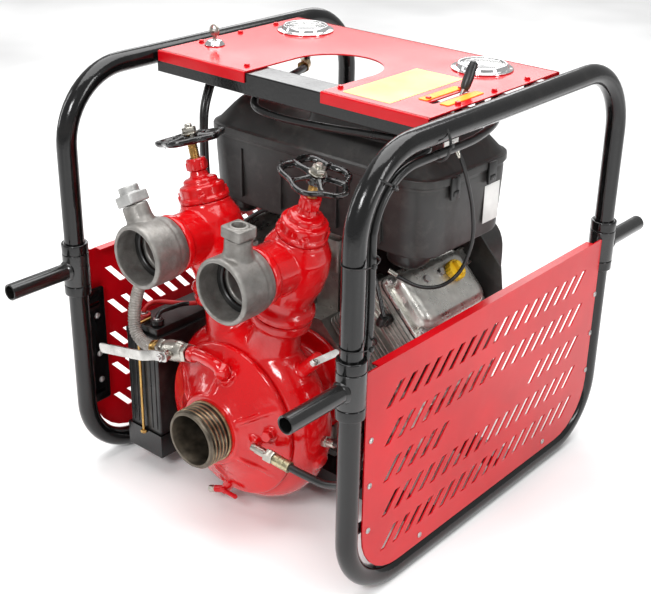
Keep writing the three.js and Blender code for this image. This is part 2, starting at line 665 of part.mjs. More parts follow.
const FIN_PITCH = 14;
function cylinder() {
  const fins = Array.from({ length: 6 }, (_, i) => {
    const low = CYLINDER_FOOT + FIN_PITCH * (i + 1);
    return box(-60, 60, -90, 80, low, low + 4);
  });
  return join(box(-50, 50, -78, 68, CYLINDER_FOOT, 210), box(-60, 60, -92, 86, 204, HEAD_TOP), ...fins);
}
for (const [name, side] of [['right', 1], ['left', -1]]) {
  const group = groupAt(0, 0, PUMP_Z, side * CYLINDER_LEAN);
  place(`engine_cylinder_${name}`, cylinder(), 'aluminium', group);
  place(`rocker_cover_${name}`, prism(outline(roundedOutline(-58, 58, -94, 90, [16, 16, 16, 16], 3)),
    HEAD_TOP + GAP, COVER_TOP), 'aluminium', group);
  if (side === 1) {
    const cap = join(rod(17, COVER_TOP + GAP, COVER_TOP + 9, 14),
      box(-3, 3, -14, 14, COVER_TOP + 8, COVER_TOP + 18));
    place('oil_filler_cap', cap.translate([-13, 31, 0]), 'yellow', group);
  }
}

function housingOutline(growth, radii) {
  return outline(roundedOutline(-HOUSING_X - growth, HOUSING_X + growth, HOUSING_FRONT - growth,
    HOUSING_BACK + growth, radii));
}
const HOUSING_CORNERS = [30, 55, 30, 30];
const HOUSING_WALL = 4;
function blowerHousing() {
  const inner = housingOutline(-HOUSING_WALL, HOUSING_CORNERS.map((radius) => radius - HOUSING_WALL));
  return cut(prism(housingOutline(0, HOUSING_CORNERS), HOUSING_LOW, HOUSING_HIGH),
    prism(inner, HOUSING_LOW + HOUSING_WALL, HOUSING_HIGH + 1));
}
place('blower_housing', blowerHousing(), 'plasticBlack');

// The lid: a rim, a bevelled roof and a raised filter cover.
function airCleanerLid() {
  const low = HOUSING_HIGH + GAP;
  const rim = prism(housingOutline(4, HOUSING_CORNERS), low, low + 12);
  const roof = new THREE.CylinderGeometry(Math.SQRT1_2, 1, 1, 4).rotateX(Math.PI / 2).rotateZ(Math.PI / 4);
  roof.scale(Math.SQRT2, Math.SQRT2, 1);
  const position = roof.attributes.position;
  for (let i = 0; i < position.count; i += 1) {
    const upper = position.getZ(i) > 0;
    const [halfX, halfY] = upper ? [190, 92] : [236, 116];
    const height = upper ? ROOF_TOP : low + 11;
    position.setXYZ(i, Math.sign(Math.round(position.getX(i) * 10)) * halfX,
      Math.sign(Math.round(position.getY(i) * 10)) * halfY + (HOUSING_FRONT + HOUSING_BACK) / 2, height);
  }
  return cut(join(rim, roof, box(-30, 150, -76, 70, 620, LID_TOP)), box(-180, 180, -70, 100, low - 1, 626));
}
place('air_cleaner_lid', airCleanerLid(), 'plasticBlack');

const FAN_R = 105;
place('fan_shroud', cut(
  prismY(outline(roundedOutline(-200, 200, 92, 455, [90, 90, 70, 70], 4)), ENGINE_BACK + GAP, 187),
  turnedForward([[0, -200], [FAN_R, -200], [FAN_R, -172], [0, -172]], 20).translate(0, 0, PUMP_Z + 60),
), 'plasticBlack');
place('exhaust_muffler', roundedBox(150, 250, -80, 115, 92, 222, 22), 'steel');

// ---------------------------------------------------------------- battery
function battery() {
  const { x0, x1, y0, y1, z0, z1 } = BATTERY;
  return join(box(x0, x1, y0, y1, z0, z1 - 14), box(x0 + 6, x1 - 6, y0 + 6, y1 - 6, z1 - 15, z1));
}
place('battery', battery(), 'plasticBlack');

// ---------------------------------------------------------------- hoses and cables
place('braided_hose', hose([
  [-135, -318, 282], [-156, -318, 277], [-180, -318, 280], [-198, -316, 296], [-205, -308, 330],
  [-200, -296, 372], [-180, -280, 412], [-155, -262, 440],
], 9.5, 20), 'braid');

// Both gauge lines climb the right front upright and round its top bend.
function clippedRun(x) {
  const radius = BEND_TOP - UPRIGHT_HOSE;
  const bend = arc(-HALF_LENGTH + BEND_TOP, RAIL_HIGH - BEND_TOP, radius, 180, 90, BEND_STEPS);
  return bend.map(([y, z]) => [x, y, z]);
}
const pressureFitting = aim(turned([
  [0, 0], [6, 0], [6, 26], [10, 26], [10, 42], [8, 44], [8, 72], [0, 72],
], 8), [90.2, -328, 189], [0.98, 0.08, -0.12]);
place('pressure_hose', join(pressureFitting, hose([
  [158, -322.5, 180.7], [190, -320, 178], [235, -318, 180], [278, -316, 205], [293, -318, 260],
  [296, -320, 330], [299, -320, 400], [306, -320, 470], ...clippedRun(306), [304, -180, 686],
  [298, -80, 684], [272, 10, 682],
  [225, 80, 674], [188, 104, 672], [GAUGE_RIGHT_X, GAUGE_Y, 684],
], HOSE_R, 38)), 'rubberBlack');

place('vacuum_hose', hose([
  [170, -238, 190], [195, -240, 200], [240, -262, 225], [272, -300, 265], [281, -319, 320], [286, -320, 400],
  [292, -320, 470], ...clippedRun(292), [280, -170, 686], [235, -150, 682], [150, -146, 674], [60, -146, 666],
  [-20, -150, 664], [-70, -150, 670], [-90, -128, 680], [-104, -90, 684], [-125, -30, 680], [-160, 60, 676],
  [-188, 102, 674], [GAUGE_LEFT_X, GAUGE_Y, 684],
], HOSE_R, 50), 'rubberBlack');

place('throttle_cable', hose([
  [240, -44, 652], [250, -38, 630], [256, -28, 596], [257, -10, 545], [257, -4, 490], [247, -16, 440],
  [232, -42, 418], [212, -72, 419], [192, -98, 436], [176, -108, 448],
], 3, 26), 'rubberBlack');

place('wiring_loom', hose([
  [KEY_X, KEY_Y, 696], [-236, -84, 680], [-230, -104, 655], [-224, -120, 620], [-220, -124, 560],
  [-214, -126, 480], [-208, -132, 400], [-206, -142, 340], [-206, -150, BATTERY.z1 + 1],
], 6, 26), 'rubberBlack');

pump.updateMatrixWorld(true);
export default pump;
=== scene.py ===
import json
import math

import bmesh
import bpy
from mathutils import Matrix, Quaternion, Vector


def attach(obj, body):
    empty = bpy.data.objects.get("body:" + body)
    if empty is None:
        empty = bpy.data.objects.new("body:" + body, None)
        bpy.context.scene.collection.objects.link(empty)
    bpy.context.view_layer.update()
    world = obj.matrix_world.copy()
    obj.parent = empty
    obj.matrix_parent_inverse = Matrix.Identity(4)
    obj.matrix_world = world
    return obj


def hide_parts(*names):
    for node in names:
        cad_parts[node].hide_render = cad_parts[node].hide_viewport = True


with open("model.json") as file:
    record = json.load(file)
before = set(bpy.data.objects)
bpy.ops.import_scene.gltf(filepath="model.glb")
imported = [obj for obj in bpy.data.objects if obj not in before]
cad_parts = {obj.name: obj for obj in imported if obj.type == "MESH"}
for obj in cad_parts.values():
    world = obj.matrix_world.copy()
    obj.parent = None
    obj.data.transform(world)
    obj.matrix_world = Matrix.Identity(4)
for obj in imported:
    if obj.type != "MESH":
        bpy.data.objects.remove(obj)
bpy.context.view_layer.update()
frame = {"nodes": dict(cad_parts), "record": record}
NODES = frame["nodes"]
MM = 0.001

# ------------------------------------------------------------------ camera, lights and floor
EYE = Vector((1.2117, -1.4760, 1.2182))
YAW, PITCH, ROLL = 0.7062, 0.4454, 0.0169
LENS = 66.31


def aim_camera():
    ahead = Vector((-math.sin(YAW) * math.cos(PITCH), math.cos(YAW) * math.cos(PITCH), -math.sin(PITCH)))
    right = ahead.cross(Vector((0, 0, 1))).normalized()
    up = right.cross(ahead)
    c, s = math.cos(ROLL), math.sin(ROLL)
    right, up = c * right + s * up, c * up - s * right
    data = bpy.data.cameras.new("camera")
    data.lens = LENS
    data.sensor_width = 36
    data.clip_end = 50
    camera = bpy.data.objects.new("camera", data)
    camera.matrix_world = Matrix((right, up, -ahead)).transposed().to_4x4()
    camera.location = EYE
    bpy.context.collection.objects.link(camera)
    bpy.context.scene.camera = camera


def softbox(name, at, to, size, power, tint=(1, 1, 1)):
    data = bpy.data.lights.new(name, "AREA")
    data.shape = "RECTANGLE"
    data.size, data.size_y = size
    data.energy = power
    data.color = tint
    light = bpy.data.objects.new(name, data)
    light.location = at
    light.rotation_euler = (Vector(to) - Vector(at)).to_track_quat("-Z", "Y").to_euler()
    bpy.context.collection.objects.link(light)


aim_camera()
softbox("overhead_light", (-0.2, 0.3, 3.2), (0, 0, 0), (3.4, 3.4), 150)
softbox("back_light", (-2.6, 3.0, 2.3), (0, 0, 0.6), (2.8, 1.2), 32)
softbox("key_light", (1.0, -2.8, 2.4), (0, 0, 0.3), (0.9, 0.7), 56)
softbox("left_light", (-2.6, -1.4, 1.4), (0, -0.1, 0.4), (0.35, 1.6), 14)
softbox("right_light", (2.9, 0.2, 1.5), (0, 0, 0.4), (0.5, 1.6), 24)

world = bpy.data.worlds.new("studio")
world.use_nodes = True
world.node_tree.nodes["Background"].inputs["Color"].default_value = (1, 1, 1, 1)
world.node_tree.nodes["Background"].inputs["Strength"].default_value = 0.5
bpy.context.scene.world = world
bpy.context.scene.view_settings.view_transform = "Standard"


# ------------------------------------------------------------------ materials
class Graph:
    """A material's node tree with short calls."""

    def __init__(self, name):
        self.material = bpy.data.materials.new(name)
        self.material.use_nodes = True
        self.tree = self.material.node_tree
        self.shader = self.tree.nodes["Principled BSDF"]
        self.place = self.node("TexCoord").outputs["Object"]

    def node(self, kind, inputs=None, **settings):
        node = self.tree.nodes.new("ShaderNode" + kind)
        for key, value in settings.items():
            setattr(node, key, value)
        for key, value in (inputs or {}).items():
            if isinstance(value, bpy.types.NodeSocket):
                self.tree.links.new(value, node.inputs[key])
            else:
                node.inputs[key].default_value = value
        return node

    def noise(self, scale, detail=3, stretch=None, rough=0.5):
        place = self.place
        if stretch:
            place = self.node("Mapping", {"Vector": place, "Scale": stretch}).outputs["Vector"]
        return self.node("TexNoise", {"Vector": place, "Scale": scale, "Detail": detail,
                                      "Roughness": rough}).outputs["Fac"]

    def spread(self, value, low, high, start=0.3, end=0.7):
        ramp = self.node("MapRange", {"Value": value, "From Min": start, "From Max": end, "To Min": low,
                                      "To Max": high})
        return ramp.outputs["Result"]

    def mix(self, factor, a, b):
        node = self.node("Mix", data_type="RGBA")
        for socket, value in ((node.inputs[0], factor), (node.inputs[6], a), (node.inputs[7], b)):
            if isinstance(value, bpy.types.NodeSocket):
                self.tree.links.new(value, socket)
            elif isinstance(value, (int, float)):
                socket.default_value = value
            else:
                socket.default_value = (*value, 1)
        return node.outputs[2]

    def bump(self, height, strength, distance, under=None):
        inputs = {"Height": height, "Strength": strength, "Distance": distance}
        if under:
            inputs["Normal"] = under
        return self.node("Bump", inputs).outputs["Normal"]

    def set(self, **sockets):
        for key, value in sockets.items():
            socket = self.shader.inputs[key.replace("_", " ")]
            if isinstance(value, bpy.types.NodeSocket):
                self.tree.links.new(value, socket)
            elif isinstance(value, (int, float)):
                socket.default_value = value
            else:
                socket.default_value = (*value, 1)


def shade(colour, factor):
    return tuple(channel * factor for channel in colour)


def painted(name, colour, rough, peel=0.12, peel_scale=260, coat=0.4, dust=0.08, lumps=0.0, gloss=0.5):
    """Gloss paint with orange peel and dull dusty patches. lumps shows a sand casting under it."""
    g = Graph(name)
    drift = g.mix(g.spread(g.noise(9), 0, 1), shade(colour, 0.86), shade(colour, 1.08))
    dirt = g.spread(g.noise(22, 6, rough=0.65), 0, dust, 0.52, 0.75)
    surface = g.mix(dirt, drift, (0.32, 0.29, 0.26))
    normal = g.bump(g.noise(peel_scale, 2), peel, 0.0006)
    if lumps:
        normal = g.bump(g.noise(60, 3), lumps, 0.004, normal)
    g.set(Base_Color=surface, Roughness=g.spread(g.noise(14, 4), rough * 0.8, rough * 1.35), Normal=normal)
    g.set(Coat_Weight=coat, Coat_Roughness=0.06, Specular_IOR_Level=gloss)
    return g.material


def moulded(name, colour, rough, grain=0.25, scale=900, dust=0.1):
    """Moulded plastic or rubber with a fine grain and rubbed patches."""
    g = Graph(name)
    drift = g.mix(g.spread(g.noise(12), 0, 1), shade(colour, 0.8), shade(colour, 1.25))
    dirt = g.spread(g.noise(30, 7, rough=0.7), 0, dust, 0.5, 0.75)
    g.set(Base_Color=g.mix(dirt, drift, (0.30, 0.28, 0.25)))
    g.set(Roughness=g.spread(g.noise(20, 5), rough * 0.8, min(1, rough * 1.25)))
    g.set(Normal=g.bump(g.noise(scale, 2), grain, 0.0004))
    return g.material


def metal(name, colour, rough, metallic=1.0, cast=0.0, brushed=None, tarnish=(0.08, 0.07, 0.06),
          stain=0.35):
    """Bare metal: blotchy stain, uneven gloss, and a cast or a brushed surface."""
    g = Graph(name)
    drift = g.mix(g.spread(g.noise(40, 4), 0, 1), shade(colour, 0.75), shade(colour, 1.12))
    blotch = g.spread(g.noise(55, 8, rough=0.7), 0, stain, 0.45, 0.75)
    g.set(Base_Color=g.mix(blotch, drift, tarnish), Metallic=metallic)
    g.set(Roughness=g.spread(g.noise(70, 5), rough * 0.7, min(1, rough * 1.5)))
    if brushed:
        g.set(Normal=g.bump(g.noise(1400, 2, brushed), 0.12, 0.0003))
    else:
        fine = g.bump(g.noise(700, 3), 0.10 + cast * 0.4, 0.0004)
        g.set(Normal=g.bump(g.noise(180, 4), cast, 0.0015, fine))
    return g.material


def braided():
    """Grey hose wall: milky, streaked along its length, with dusty ribs."""
    g = Graph("braid")
    streak = g.noise(70, 4, (1, 1, 0.25))
    tone = g.mix(g.spread(streak, 0, 1), (0.20, 0.185, 0.165), (0.40, 0.375, 0.345))
    g.set(Base_Color=g.mix(g.spread(g.noise(160, 5), 0, 0.5), tone, (0.10, 0.09, 0.08)),
          Roughness=g.spread(streak, 0.28, 0.45))
    g.set(Normal=g.bump(g.noise(420, 3), 0.25, 0.0006), Coat_Weight=0.25)
    return g.material


def threaded():
    """Dark bronze whose thread crests are rubbed bright."""
    g = Graph("thread_bronze")
    offset = g.node("VectorMath", {0: g.place, 1: (0, 0, -0.188)}, operation="ADD").outputs["Vector"]
    flat = g.node("VectorMath", {0: offset, 1: (1, 0, 1)}, operation="MULTIPLY").outputs["Vector"]
    radius = g.node("VectorMath", {0: flat}, operation="LENGTH").outputs["Value"]
    crest = g.spread(radius, 0, 0.85, 0.0495, 0.0506)
    worn = g.mix(g.spread(g.noise(90, 5), 0, 1), (0.22, 0.15, 0.08), (0.50, 0.38, 0.22))
    dark = g.mix(g.spread(g.noise(60, 6), 0, 1), (0.065, 0.056, 0.044), (0.15, 0.125, 0.095))
    g.set(Base_Color=g.mix(crest, dark, worn), Metallic=0.9, Roughness=g.spread(g.noise(120, 4), 0.28, 0.5))
    g.set(Normal=g.bump(g.noise(500, 3), 0.2, 0.0005))
    return g.material


MATS = {
    "frame_paint": painted("frame_paint", (0.0026, 0.0026, 0.0028), 0.14, peel=0.35, peel_scale=170,
                           coat=0.12, dust=0.02, gloss=0.4),
    "panel_red": painted("panel_red", (0.53, 0.002, 0.007), 0.20, peel=0.06, coat=0.10, dust=0.02,
                         gloss=0.28),
    "pump_red": painted("pump_red", (0.54, 0.002, 0.004), 0.14, peel=0.12, coat=0.4, dust=0.02, lumps=0.3,
                        gloss=0.35),
    "wheel_black": painted("wheel_black", (0.003, 0.003, 0.003), 0.14, peel=0.4, coat=0.3, dust=0.05,
                           lumps=0.5),
    "black_plastic": moulded("black_plastic", (0.0185, 0.0178, 0.0170), 0.42, grain=0.3),
    "battery_plastic": moulded("battery_plastic", (0.006, 0.006, 0.006), 0.32, grain=0.2),
    "grip_rubber": painted("grip_paint", (0.006, 0.006, 0.006), 0.22, coat=0.3, dust=0.04),
    "hose_rubber": moulded("hose_rubber", (0.008, 0.008, 0.008), 0.30, grain=0.2, dust=0.03),
    "tie_nylon": moulded("tie_nylon", (0.005, 0.005, 0.005), 0.35, dust=0.0),
    "coupling_grey": metal("coupling_grey", (0.25, 0.24, 0.225), 0.42, 0.62, cast=0.35,
                           tarnish=(0.13, 0.115, 0.10), stain=0.6),
    "lug_grey": metal("lug_grey", (0.42, 0.42, 0.41), 0.45, 0.6, cast=0.35, stain=0.3),
    "engine_aluminium": metal("engine_aluminium", (0.42, 0.41, 0.38), 0.38, 0.85, cast=0.3),
    "bright_alloy": metal("bright_alloy", (0.62, 0.61, 0.57), 0.30, 0.9, cast=0.12, stain=0.15),
    "brass_bare": metal("brass_bare", (0.50, 0.31, 0.10), 0.30, 1.0, stain=0.25),
    "nickel": metal("nickel", (0.48, 0.46, 0.41), 0.28, 1.0, stain=0.3),
    "nickel_yellow": metal("nickel_yellow", (0.46, 0.41, 0.26), 0.32, 1.0, stain=0.3),
    "zinc": metal("zinc", (0.52, 0.51, 0.50), 0.30, 1.0, stain=0.2),
    "bezel_chrome": metal("bezel_chrome", (0.78, 0.78, 0.78), 0.07, 1.0, stain=0.04),
    "bare_steel": metal("bare_steel", (0.52, 0.51, 0.49), 0.27, 1.0, brushed=(0.08, 1, 1), stain=0.12),
    "bronze_dark": threaded(),
    "braid": braided(),
    "cap_yellow": moulded("cap_yellow", (0.80, 0.50, 0.015), 0.35, grain=0.15, dust=0.05),
    "needle_black": moulded("needle_black", (0.01, 0.01, 0.01), 0.4, dust=0),
    "label_yellow": moulded("label_yellow", (0.82, 0.60, 0.16), 0.38, grain=0.05, dust=0.05),
    "label_orange": moulded("label_orange", (0.85, 0.33, 0.02), 0.38, grain=0.05, dust=0.05),
    "label_white": moulded("label_white", (0.72, 0.72, 0.70), 0.40, grain=0.05, dust=0.05),
    "dial_white": moulded("dial_white", (0.80, 0.80, 0.78), 0.5, grain=0.03, dust=0.02),
    "dark_inside": moulded("dark_inside", (0.02, 0.02, 0.019), 0.8, dust=0.1),
    "cable_red": moulded("cable_red", (0.45, 0.01, 0.01), 0.4),
    "floor": moulded("floor", (0.86, 0.86, 0.86), 0.9, grain=0.05, scale=80, dust=0.0),
}


def glass():
    g = Graph("gauge_glass")
    g.set(Base_Color=(1, 1, 1), Roughness=0.03, Transmission_Weight=1.0, IOR=1.45)
    g.set(Normal=g.bump(g.noise(60, 2), 0.02, 0.0002))
    return g.material


MATS["gauge_glass"] = glass()

SLOT_LOOK = {row["node"]: row["material_slot"] for row in frame["record"]["subparts"]}
for node, thing in NODES.items():
    thing.data.materials.clear()
    thing.data.materials.append(MATS[SLOT_LOOK[node]])


# ------------------------------------------------------------------ mesh toolkit (millimetres in, metres out)
def move(x=0, y=0, z=0):
    return Matrix.Translation((x, y, z))


def turn(axis, degrees):
    return Matrix.Rotation(math.radians(degrees), 4, axis)


def aimed(at, direction, roll=0):
    """Local +Z points along direction, from a given point."""
    spin = Vector((0, 0, 1)).rotation_difference(Vector(direction)) @ Quaternion((0, 0, 1),
                                                                                 math.radians(roll))
    return Matrix.Translation(at) @ spin.to_matrix().to_4x4()


FORWARD = turn("X", 90)  # local +Z becomes -Y
ALONG_X = turn("Z", 90) @ FORWARD  # local +Z becomes +X


def moved(part, matrix):
    return [tuple(matrix @ Vector(v)) for v in part[0]], part[1]


def placed(parts, matrix):
    return [moved(part, matrix) for part in parts]


def merged(parts):
    verts, faces = [], []
    for part_verts, part_faces in parts:
        base = len(verts)
        verts += part_verts
        faces += [tuple(i + base for i in face) for face in part_faces]
    return verts, faces


def rounded(points, radius, steps=3, closed=False):
    """Rounds a polyline's corners. A point may carry its own radius as a third number."""
    count = len(points)
    result = []
    for i, point in enumerate(points):
        own = point[2] if len(point) > 2 else radius
        here = Vector(point[:2])
        if own <= 0 or (not closed and i in (0, count - 1)):
            result.append(tuple(here))
            continue
        before = Vector(points[i - 1][:2]) - here
        after = Vector(points[(i + 1) % count][:2]) - here
        reach = min(own, before.length * 0.45, after.length * 0.45)
        start, end = here + before.normalized() * reach, here + after.normalized() * reach
        for k in range(steps + 1):
            t = k / steps
            result.append(tuple(start * (1 - t) ** 2 + here * 2 * t * (1 - t) + end * t ** 2))
    return result


def revolve(profile, sides=48, edge=0.0, twist=0.0):
    """A closed profile of (radius, height) turned about +Z. Points on the axis become one vertex each."""
    on_axis = profile[0][0] == 0 and profile[-1][0] == 0
    outline = rounded(profile, edge, closed=not on_axis) if edge else [p[:2] for p in profile]
    verts, rows = [], []
    for radius, height in outline:
        if radius < 1e-6:
            rows.append([len(verts)] * sides)
            verts.append((0, 0, height))
            continue
        rows.append(list(range(len(verts), len(verts) + sides)))
        for k in range(sides):
            angle = 2 * math.pi * k / sides
            verts.append((radius * math.cos(angle), radius * math.sin(angle), height))
    faces = []
    pairs = list(zip(rows, rows[1:])) + ([] if on_axis else [(rows[-1], rows[0])])
    for low, high in pairs:
        for k in range(sides):
            n = (k + 1) % sides
            face = [low[k], low[n], high[n], high[k]]
            face = [v for i, v in enumerate(face) if v not in face[:i]]
            if len(face) > 2:
                faces.append(tuple(face))
    return verts, faces


def smooth_route(points, step=6.0):
    """Points of an even, smooth curve through a few given ones."""
    route = [Vector(p) for p in points]
    route = [2 * route[0] - route[1], *route, 2 * route[-1] - route[-2]]
    fine = []
    for i in range(1, len(route) - 2):
        p0, p1, p2, p3 = route[i - 1:i + 3]
        count = max(2, round((p2 - p1).length / step))
        for k in range(count):
            t = k / count
            fine.append(0.5 * (2 * p1 + (p2 - p0) * t + (2 * p0 - 5 * p1 + 4 * p2 - p3) * t * t
                               + (3 * p1 - p0 - 3 * p2 + p3) * t ** 3))
    return fine + [route[-2]]


def sweep(points, radius, sides=16, flat=1.0, ends=True):
    """A tube along points. radius may be a list, one per point; flat squeezes the section."""
    points = [Vector(p) for p in points]
    radii = radius if isinstance(radius, list) else [radius] * len(points)
    tangents = [(points[min(i + 1, len(points) - 1)] - points[max(i - 1, 0)]).normalized()
                for i in range(len(points))]
    side = tangents[0].orthogonal().normalized()
    verts, faces = [], []
    for i, (point, tangent) in enumerate(zip(points, tangents)):
        if i:
            side = (tangents[i - 1].rotation_difference(tangent) @ side)
            side = (side - tangent * side.dot(tangent)).normalized()
        other = tangent.cross(side)
        for k in range(sides):
            angle = 2 * math.pi * k / sides
            verts.append(tuple(point
                               + radii[i] * (math.cos(angle) * side + flat * math.sin(angle) * other)))
    for i in range(len(points) - 1):
        for k in range(sides):
            n = (k + 1) % sides
            faces.append((i * sides + k, i * sides + n, (i + 1) * sides + n, (i + 1) * sides + k))
    if ends:
        faces.append(tuple(range(sides))[::-1])
        faces.append(tuple(range(len(verts) - sides, len(verts))))
    return verts, faces


def slab(outline, low, high, holes=(), edge=0.0):
    """A flat outline with holes, thickened along Z, its edges rounded by a curve's own bevel."""
    curve = bpy.data.curves.new("slab", "CURVE")
    curve.dimensions = "2D"
    curve.fill_mode = "BOTH"
    for loop in (outline, *holes):
        spline = curve.splines.new("POLY")
        spline.points.add(len(loop) - 1)
        for point, (x, y) in zip(spline.points, loop):
            point.co = (x, y, 0, 1)
        spline.use_cyclic_u = True
    curve.extrude = (high - low) / 2 - edge
    curve.bevel_depth = edge
    curve.bevel_resolution = 1
    curve.offset = -edge
    holder = bpy.data.objects.new("slab", curve)
    bpy.context.collection.objects.link(holder)
    mesh = bpy.data.meshes.new_from_object(holder)
    verts = [(v.co.x, v.co.y, v.co.z + (low + high) / 2) for v in mesh.vertices]
    faces = [tuple(p.vertices) for p in mesh.polygons]
    bpy.data.objects.remove(holder)
    bpy.data.meshes.remove(mesh)
    bpy.data.curves.remove(curve)
    return verts, faces


def circle(x, y, radius, sides=40):
    return [(x + radius * math.cos(2 * math.pi * k / sides), y + radius * math.sin(2 * math.pi * k / sides))
            for k in range(sides)]


def rectangle(x0, x1, y0, y1, radius=0.0, steps=4):
    corners = [(x0, y0), (x1, y0), (x1, y1), (x0, y1)]
    return rounded(corners, radius, steps, closed=True) if radius else corners


def block(x0, x1, y0, y1, z0, z1, edge=1.0, corner=0.0):
    """A box with rounded edges."""
    if corner:
        return slab(rectangle(x0, x1, y0, y1, corner), z0, z1, edge=edge)
    bm = bmesh.new()
    bmesh.ops.create_cube(bm, size=1)
    bmesh.ops.scale(bm, verts=bm.verts, vec=(x1 - x0, y1 - y0, z1 - z0))
    bmesh.ops.translate(bm, verts=bm.verts, vec=((x0 + x1) / 2, (y0 + y1) / 2, (z0 + z1) / 2))
    if edge:
        bmesh.ops.bevel(bm, geom=bm.edges[:], offset=edge, segments=2, profile=0.5, affect="EDGES",
                        clamp_overlap=True)
    part = [tuple(v.co) for v in bm.verts], [tuple(v.index for v in f.verts) for f in bm.faces]
    bm.free()
    return part


def piece(name, parts, look, body="frame", replaces=(), angle=40, bevel=0.0, edit=None, even=False):
    """One visible object made from parts. edit(object) may add modifiers, which are applied here."""
    verts, faces = merged(parts)
    mesh = bpy.data.meshes.new(name)
    mesh.from_pydata([tuple(c * MM for c in v) for v in verts], [], faces)
    bm = bmesh.new()
    bm.from_mesh(mesh)
    bmesh.ops.remove_doubles(bm, verts=bm.verts, dist=2e-6)
    bmesh.ops.recalc_face_normals(bm, faces=bm.faces)
    bm.to_mesh(mesh)
    bm.free()
    thing = bpy.data.objects.new(name, mesh)
    bpy.context.collection.objects.link(thing)
    if bevel:
        modifier = thing.modifiers.new("edges", "BEVEL")
        modifier.width = bevel * MM
        modifier.segments = 2
        modifier.limit_method = "ANGLE"
        modifier.angle_limit = math.radians(35)
    if edit:
        edit(thing)
    if even:
        thing.data.shade_smooth()
        thing.data.set_sharp_from_angle(angle=math.radians(angle))
        modifier = thing.modifiers.new("even", "WEIGHTED_NORMAL")
        modifier.keep_sharp = True
        modifier.weight = 100
    if thing.modifiers:
        baked = bpy.data.meshes.new_from_object(thing.evaluated_get(bpy.context.evaluated_depsgraph_get()))
        thing.modifiers.clear()
        thing.data = baked
        baked.name = name
    thing.data.materials.clear()
    thing.data.materials.append(MATS[look])
    if not even:
        thing.data.shade_smooth()
        thing.data.set_sharp_from_angle(angle=math.radians(angle))
    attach(thing, body)
    if replaces:
        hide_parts(*replaces)
    return thing


def cast(voxel, passes, cutters=()):
    """An edit that fuses a piece's parts into one skin with soft fillets, then bores it."""
    def edit(thing):
        fuse = thing.modifiers.new("fuse", "REMESH")
        fuse.mode = "VOXEL"
        fuse.voxel_size = voxel * MM
        soften = thing.modifiers.new("soften", "SMOOTH")
        soften.factor = 0.5
        soften.iterations = passes
        if not cutters:
            return
        verts, faces = merged(cutters)
        mesh = bpy.data.meshes.new("cutter")
        mesh.from_pydata([tuple(c * MM for c in v) for v in verts], [], faces)
        bm = bmesh.new()
        bm.from_mesh(mesh)
        bmesh.ops.recalc_face_normals(bm, faces=bm.faces)
        bm.to_mesh(mesh)
        bm.free()
        tool = bpy.data.objects.new("cutter", mesh)
        bpy.context.collection.objects.link(tool)
        bore = thing.modifiers.new("bore", "BOOLEAN")
        bore.operation = "DIFFERENCE"
        bore.solver = "EXACT"
        bore.use_self = len(cutters) > 1
        bore.object = tool
        baked = bpy.data.meshes.new_from_object(thing.evaluated_get(bpy.context.evaluated_depsgraph_get()))
        thing.modifiers.clear()
        thing.data = baked
        bpy.data.objects.remove(tool)
        bpy.data.meshes.remove(mesh)
    return edit


def hexagon(across, low, high, edge=0.8):
    """A hexagonal nut or head with chamfered corners."""
    radius = across / math.sqrt(3)
    profile = [(0, low), (radius * 0.93, low), (radius, low + edge), (radius, high - edge),
               (radius * 0.9, high), (0, high)]
    return revolve(profile, 6)


def bolt(at, direction, size=6.0, roll=20, washer=True):
    """Hex head with a washer, standing on a surface."""
    parts = [hexagon(size * 1.65, 0.8, size * 0.65 + 0.8, size * 0.12)]
    if washer:
        parts.append(revolve([(0, 0), (size * 1.1, 0), (size * 1.1, 1.0), (0, 1.0)], 20, 0.2))
    return moved(merged(parts), aimed(at, direction, roll))


def button(at, direction, size=6.0):
    """Domed socket screw with a washer."""
    head = revolve([(0, 1), (size * 0.95, 1), (size * 0.85, size * 0.4), (size * 0.45, size * 0.62),
                    (size * 0.4, size * 0.62), (size * 0.4, size * 0.3), (0, size * 0.3)], 20, 0.3)
    washer = revolve([(0, 0), (size * 1.15, 0), (size * 1.15, 1.0), (0, 1.0)], 20, 0.2)
    return moved(merged([head, washer]), aimed(at, direction))


def thread(radius, pitch, low, high, depth, bore=0.0, sides=60):
    """A screw thread: ridges that climb one pitch a turn, fading out at both ends."""
    rows = []
    steps = int((high - low) / pitch * 8)
    for i in range(steps + 1):
        rows.append(low + (high - low) * i / steps)
    verts, faces = [], []
    for z in rows:
        fade = min(1.0, (z - low) / pitch * 1.5, (high - z) / pitch * 1.5)
        for k in range(sides):
            angle = 2 * math.pi * k / sides
            wave = 0.5 + 0.5 * math.cos(2 * math.pi * (z / pitch - k / sides))
            ridge = radius - depth + depth * min(1, max(0, wave * 1.6 - 0.2)) * max(0.0, fade)
            verts.append((ridge * math.cos(angle), ridge * math.sin(angle), z))
    for i in range(len(rows) - 1):
        for k in range(sides):
            n = (k + 1) % sides
            faces.append((i * sides + k, i * sides + n, (i + 1) * sides + n, (i + 1) * sides + k))
    last = (len(rows) - 1) * sides
    if not bore:
        return verts, faces + [tuple(range(sides))[::-1], tuple(range(last, last + sides))]
    base = len(verts)
    for z in (low, high):
        verts += [(bore * math.cos(2 * math.pi * k / sides), bore * math.sin(2 * math.pi * k / sides), z)
                  for k in range(sides)]
    for k in range(sides):
        n = (k + 1) % sides
        faces.append((k, n, base + n, base + k))
        faces.append((last + k, last + n, base + sides + n, base + sides + k))
        faces.append((base + k, base + n, base + sides + n, base + sides + k))
    return verts, faces


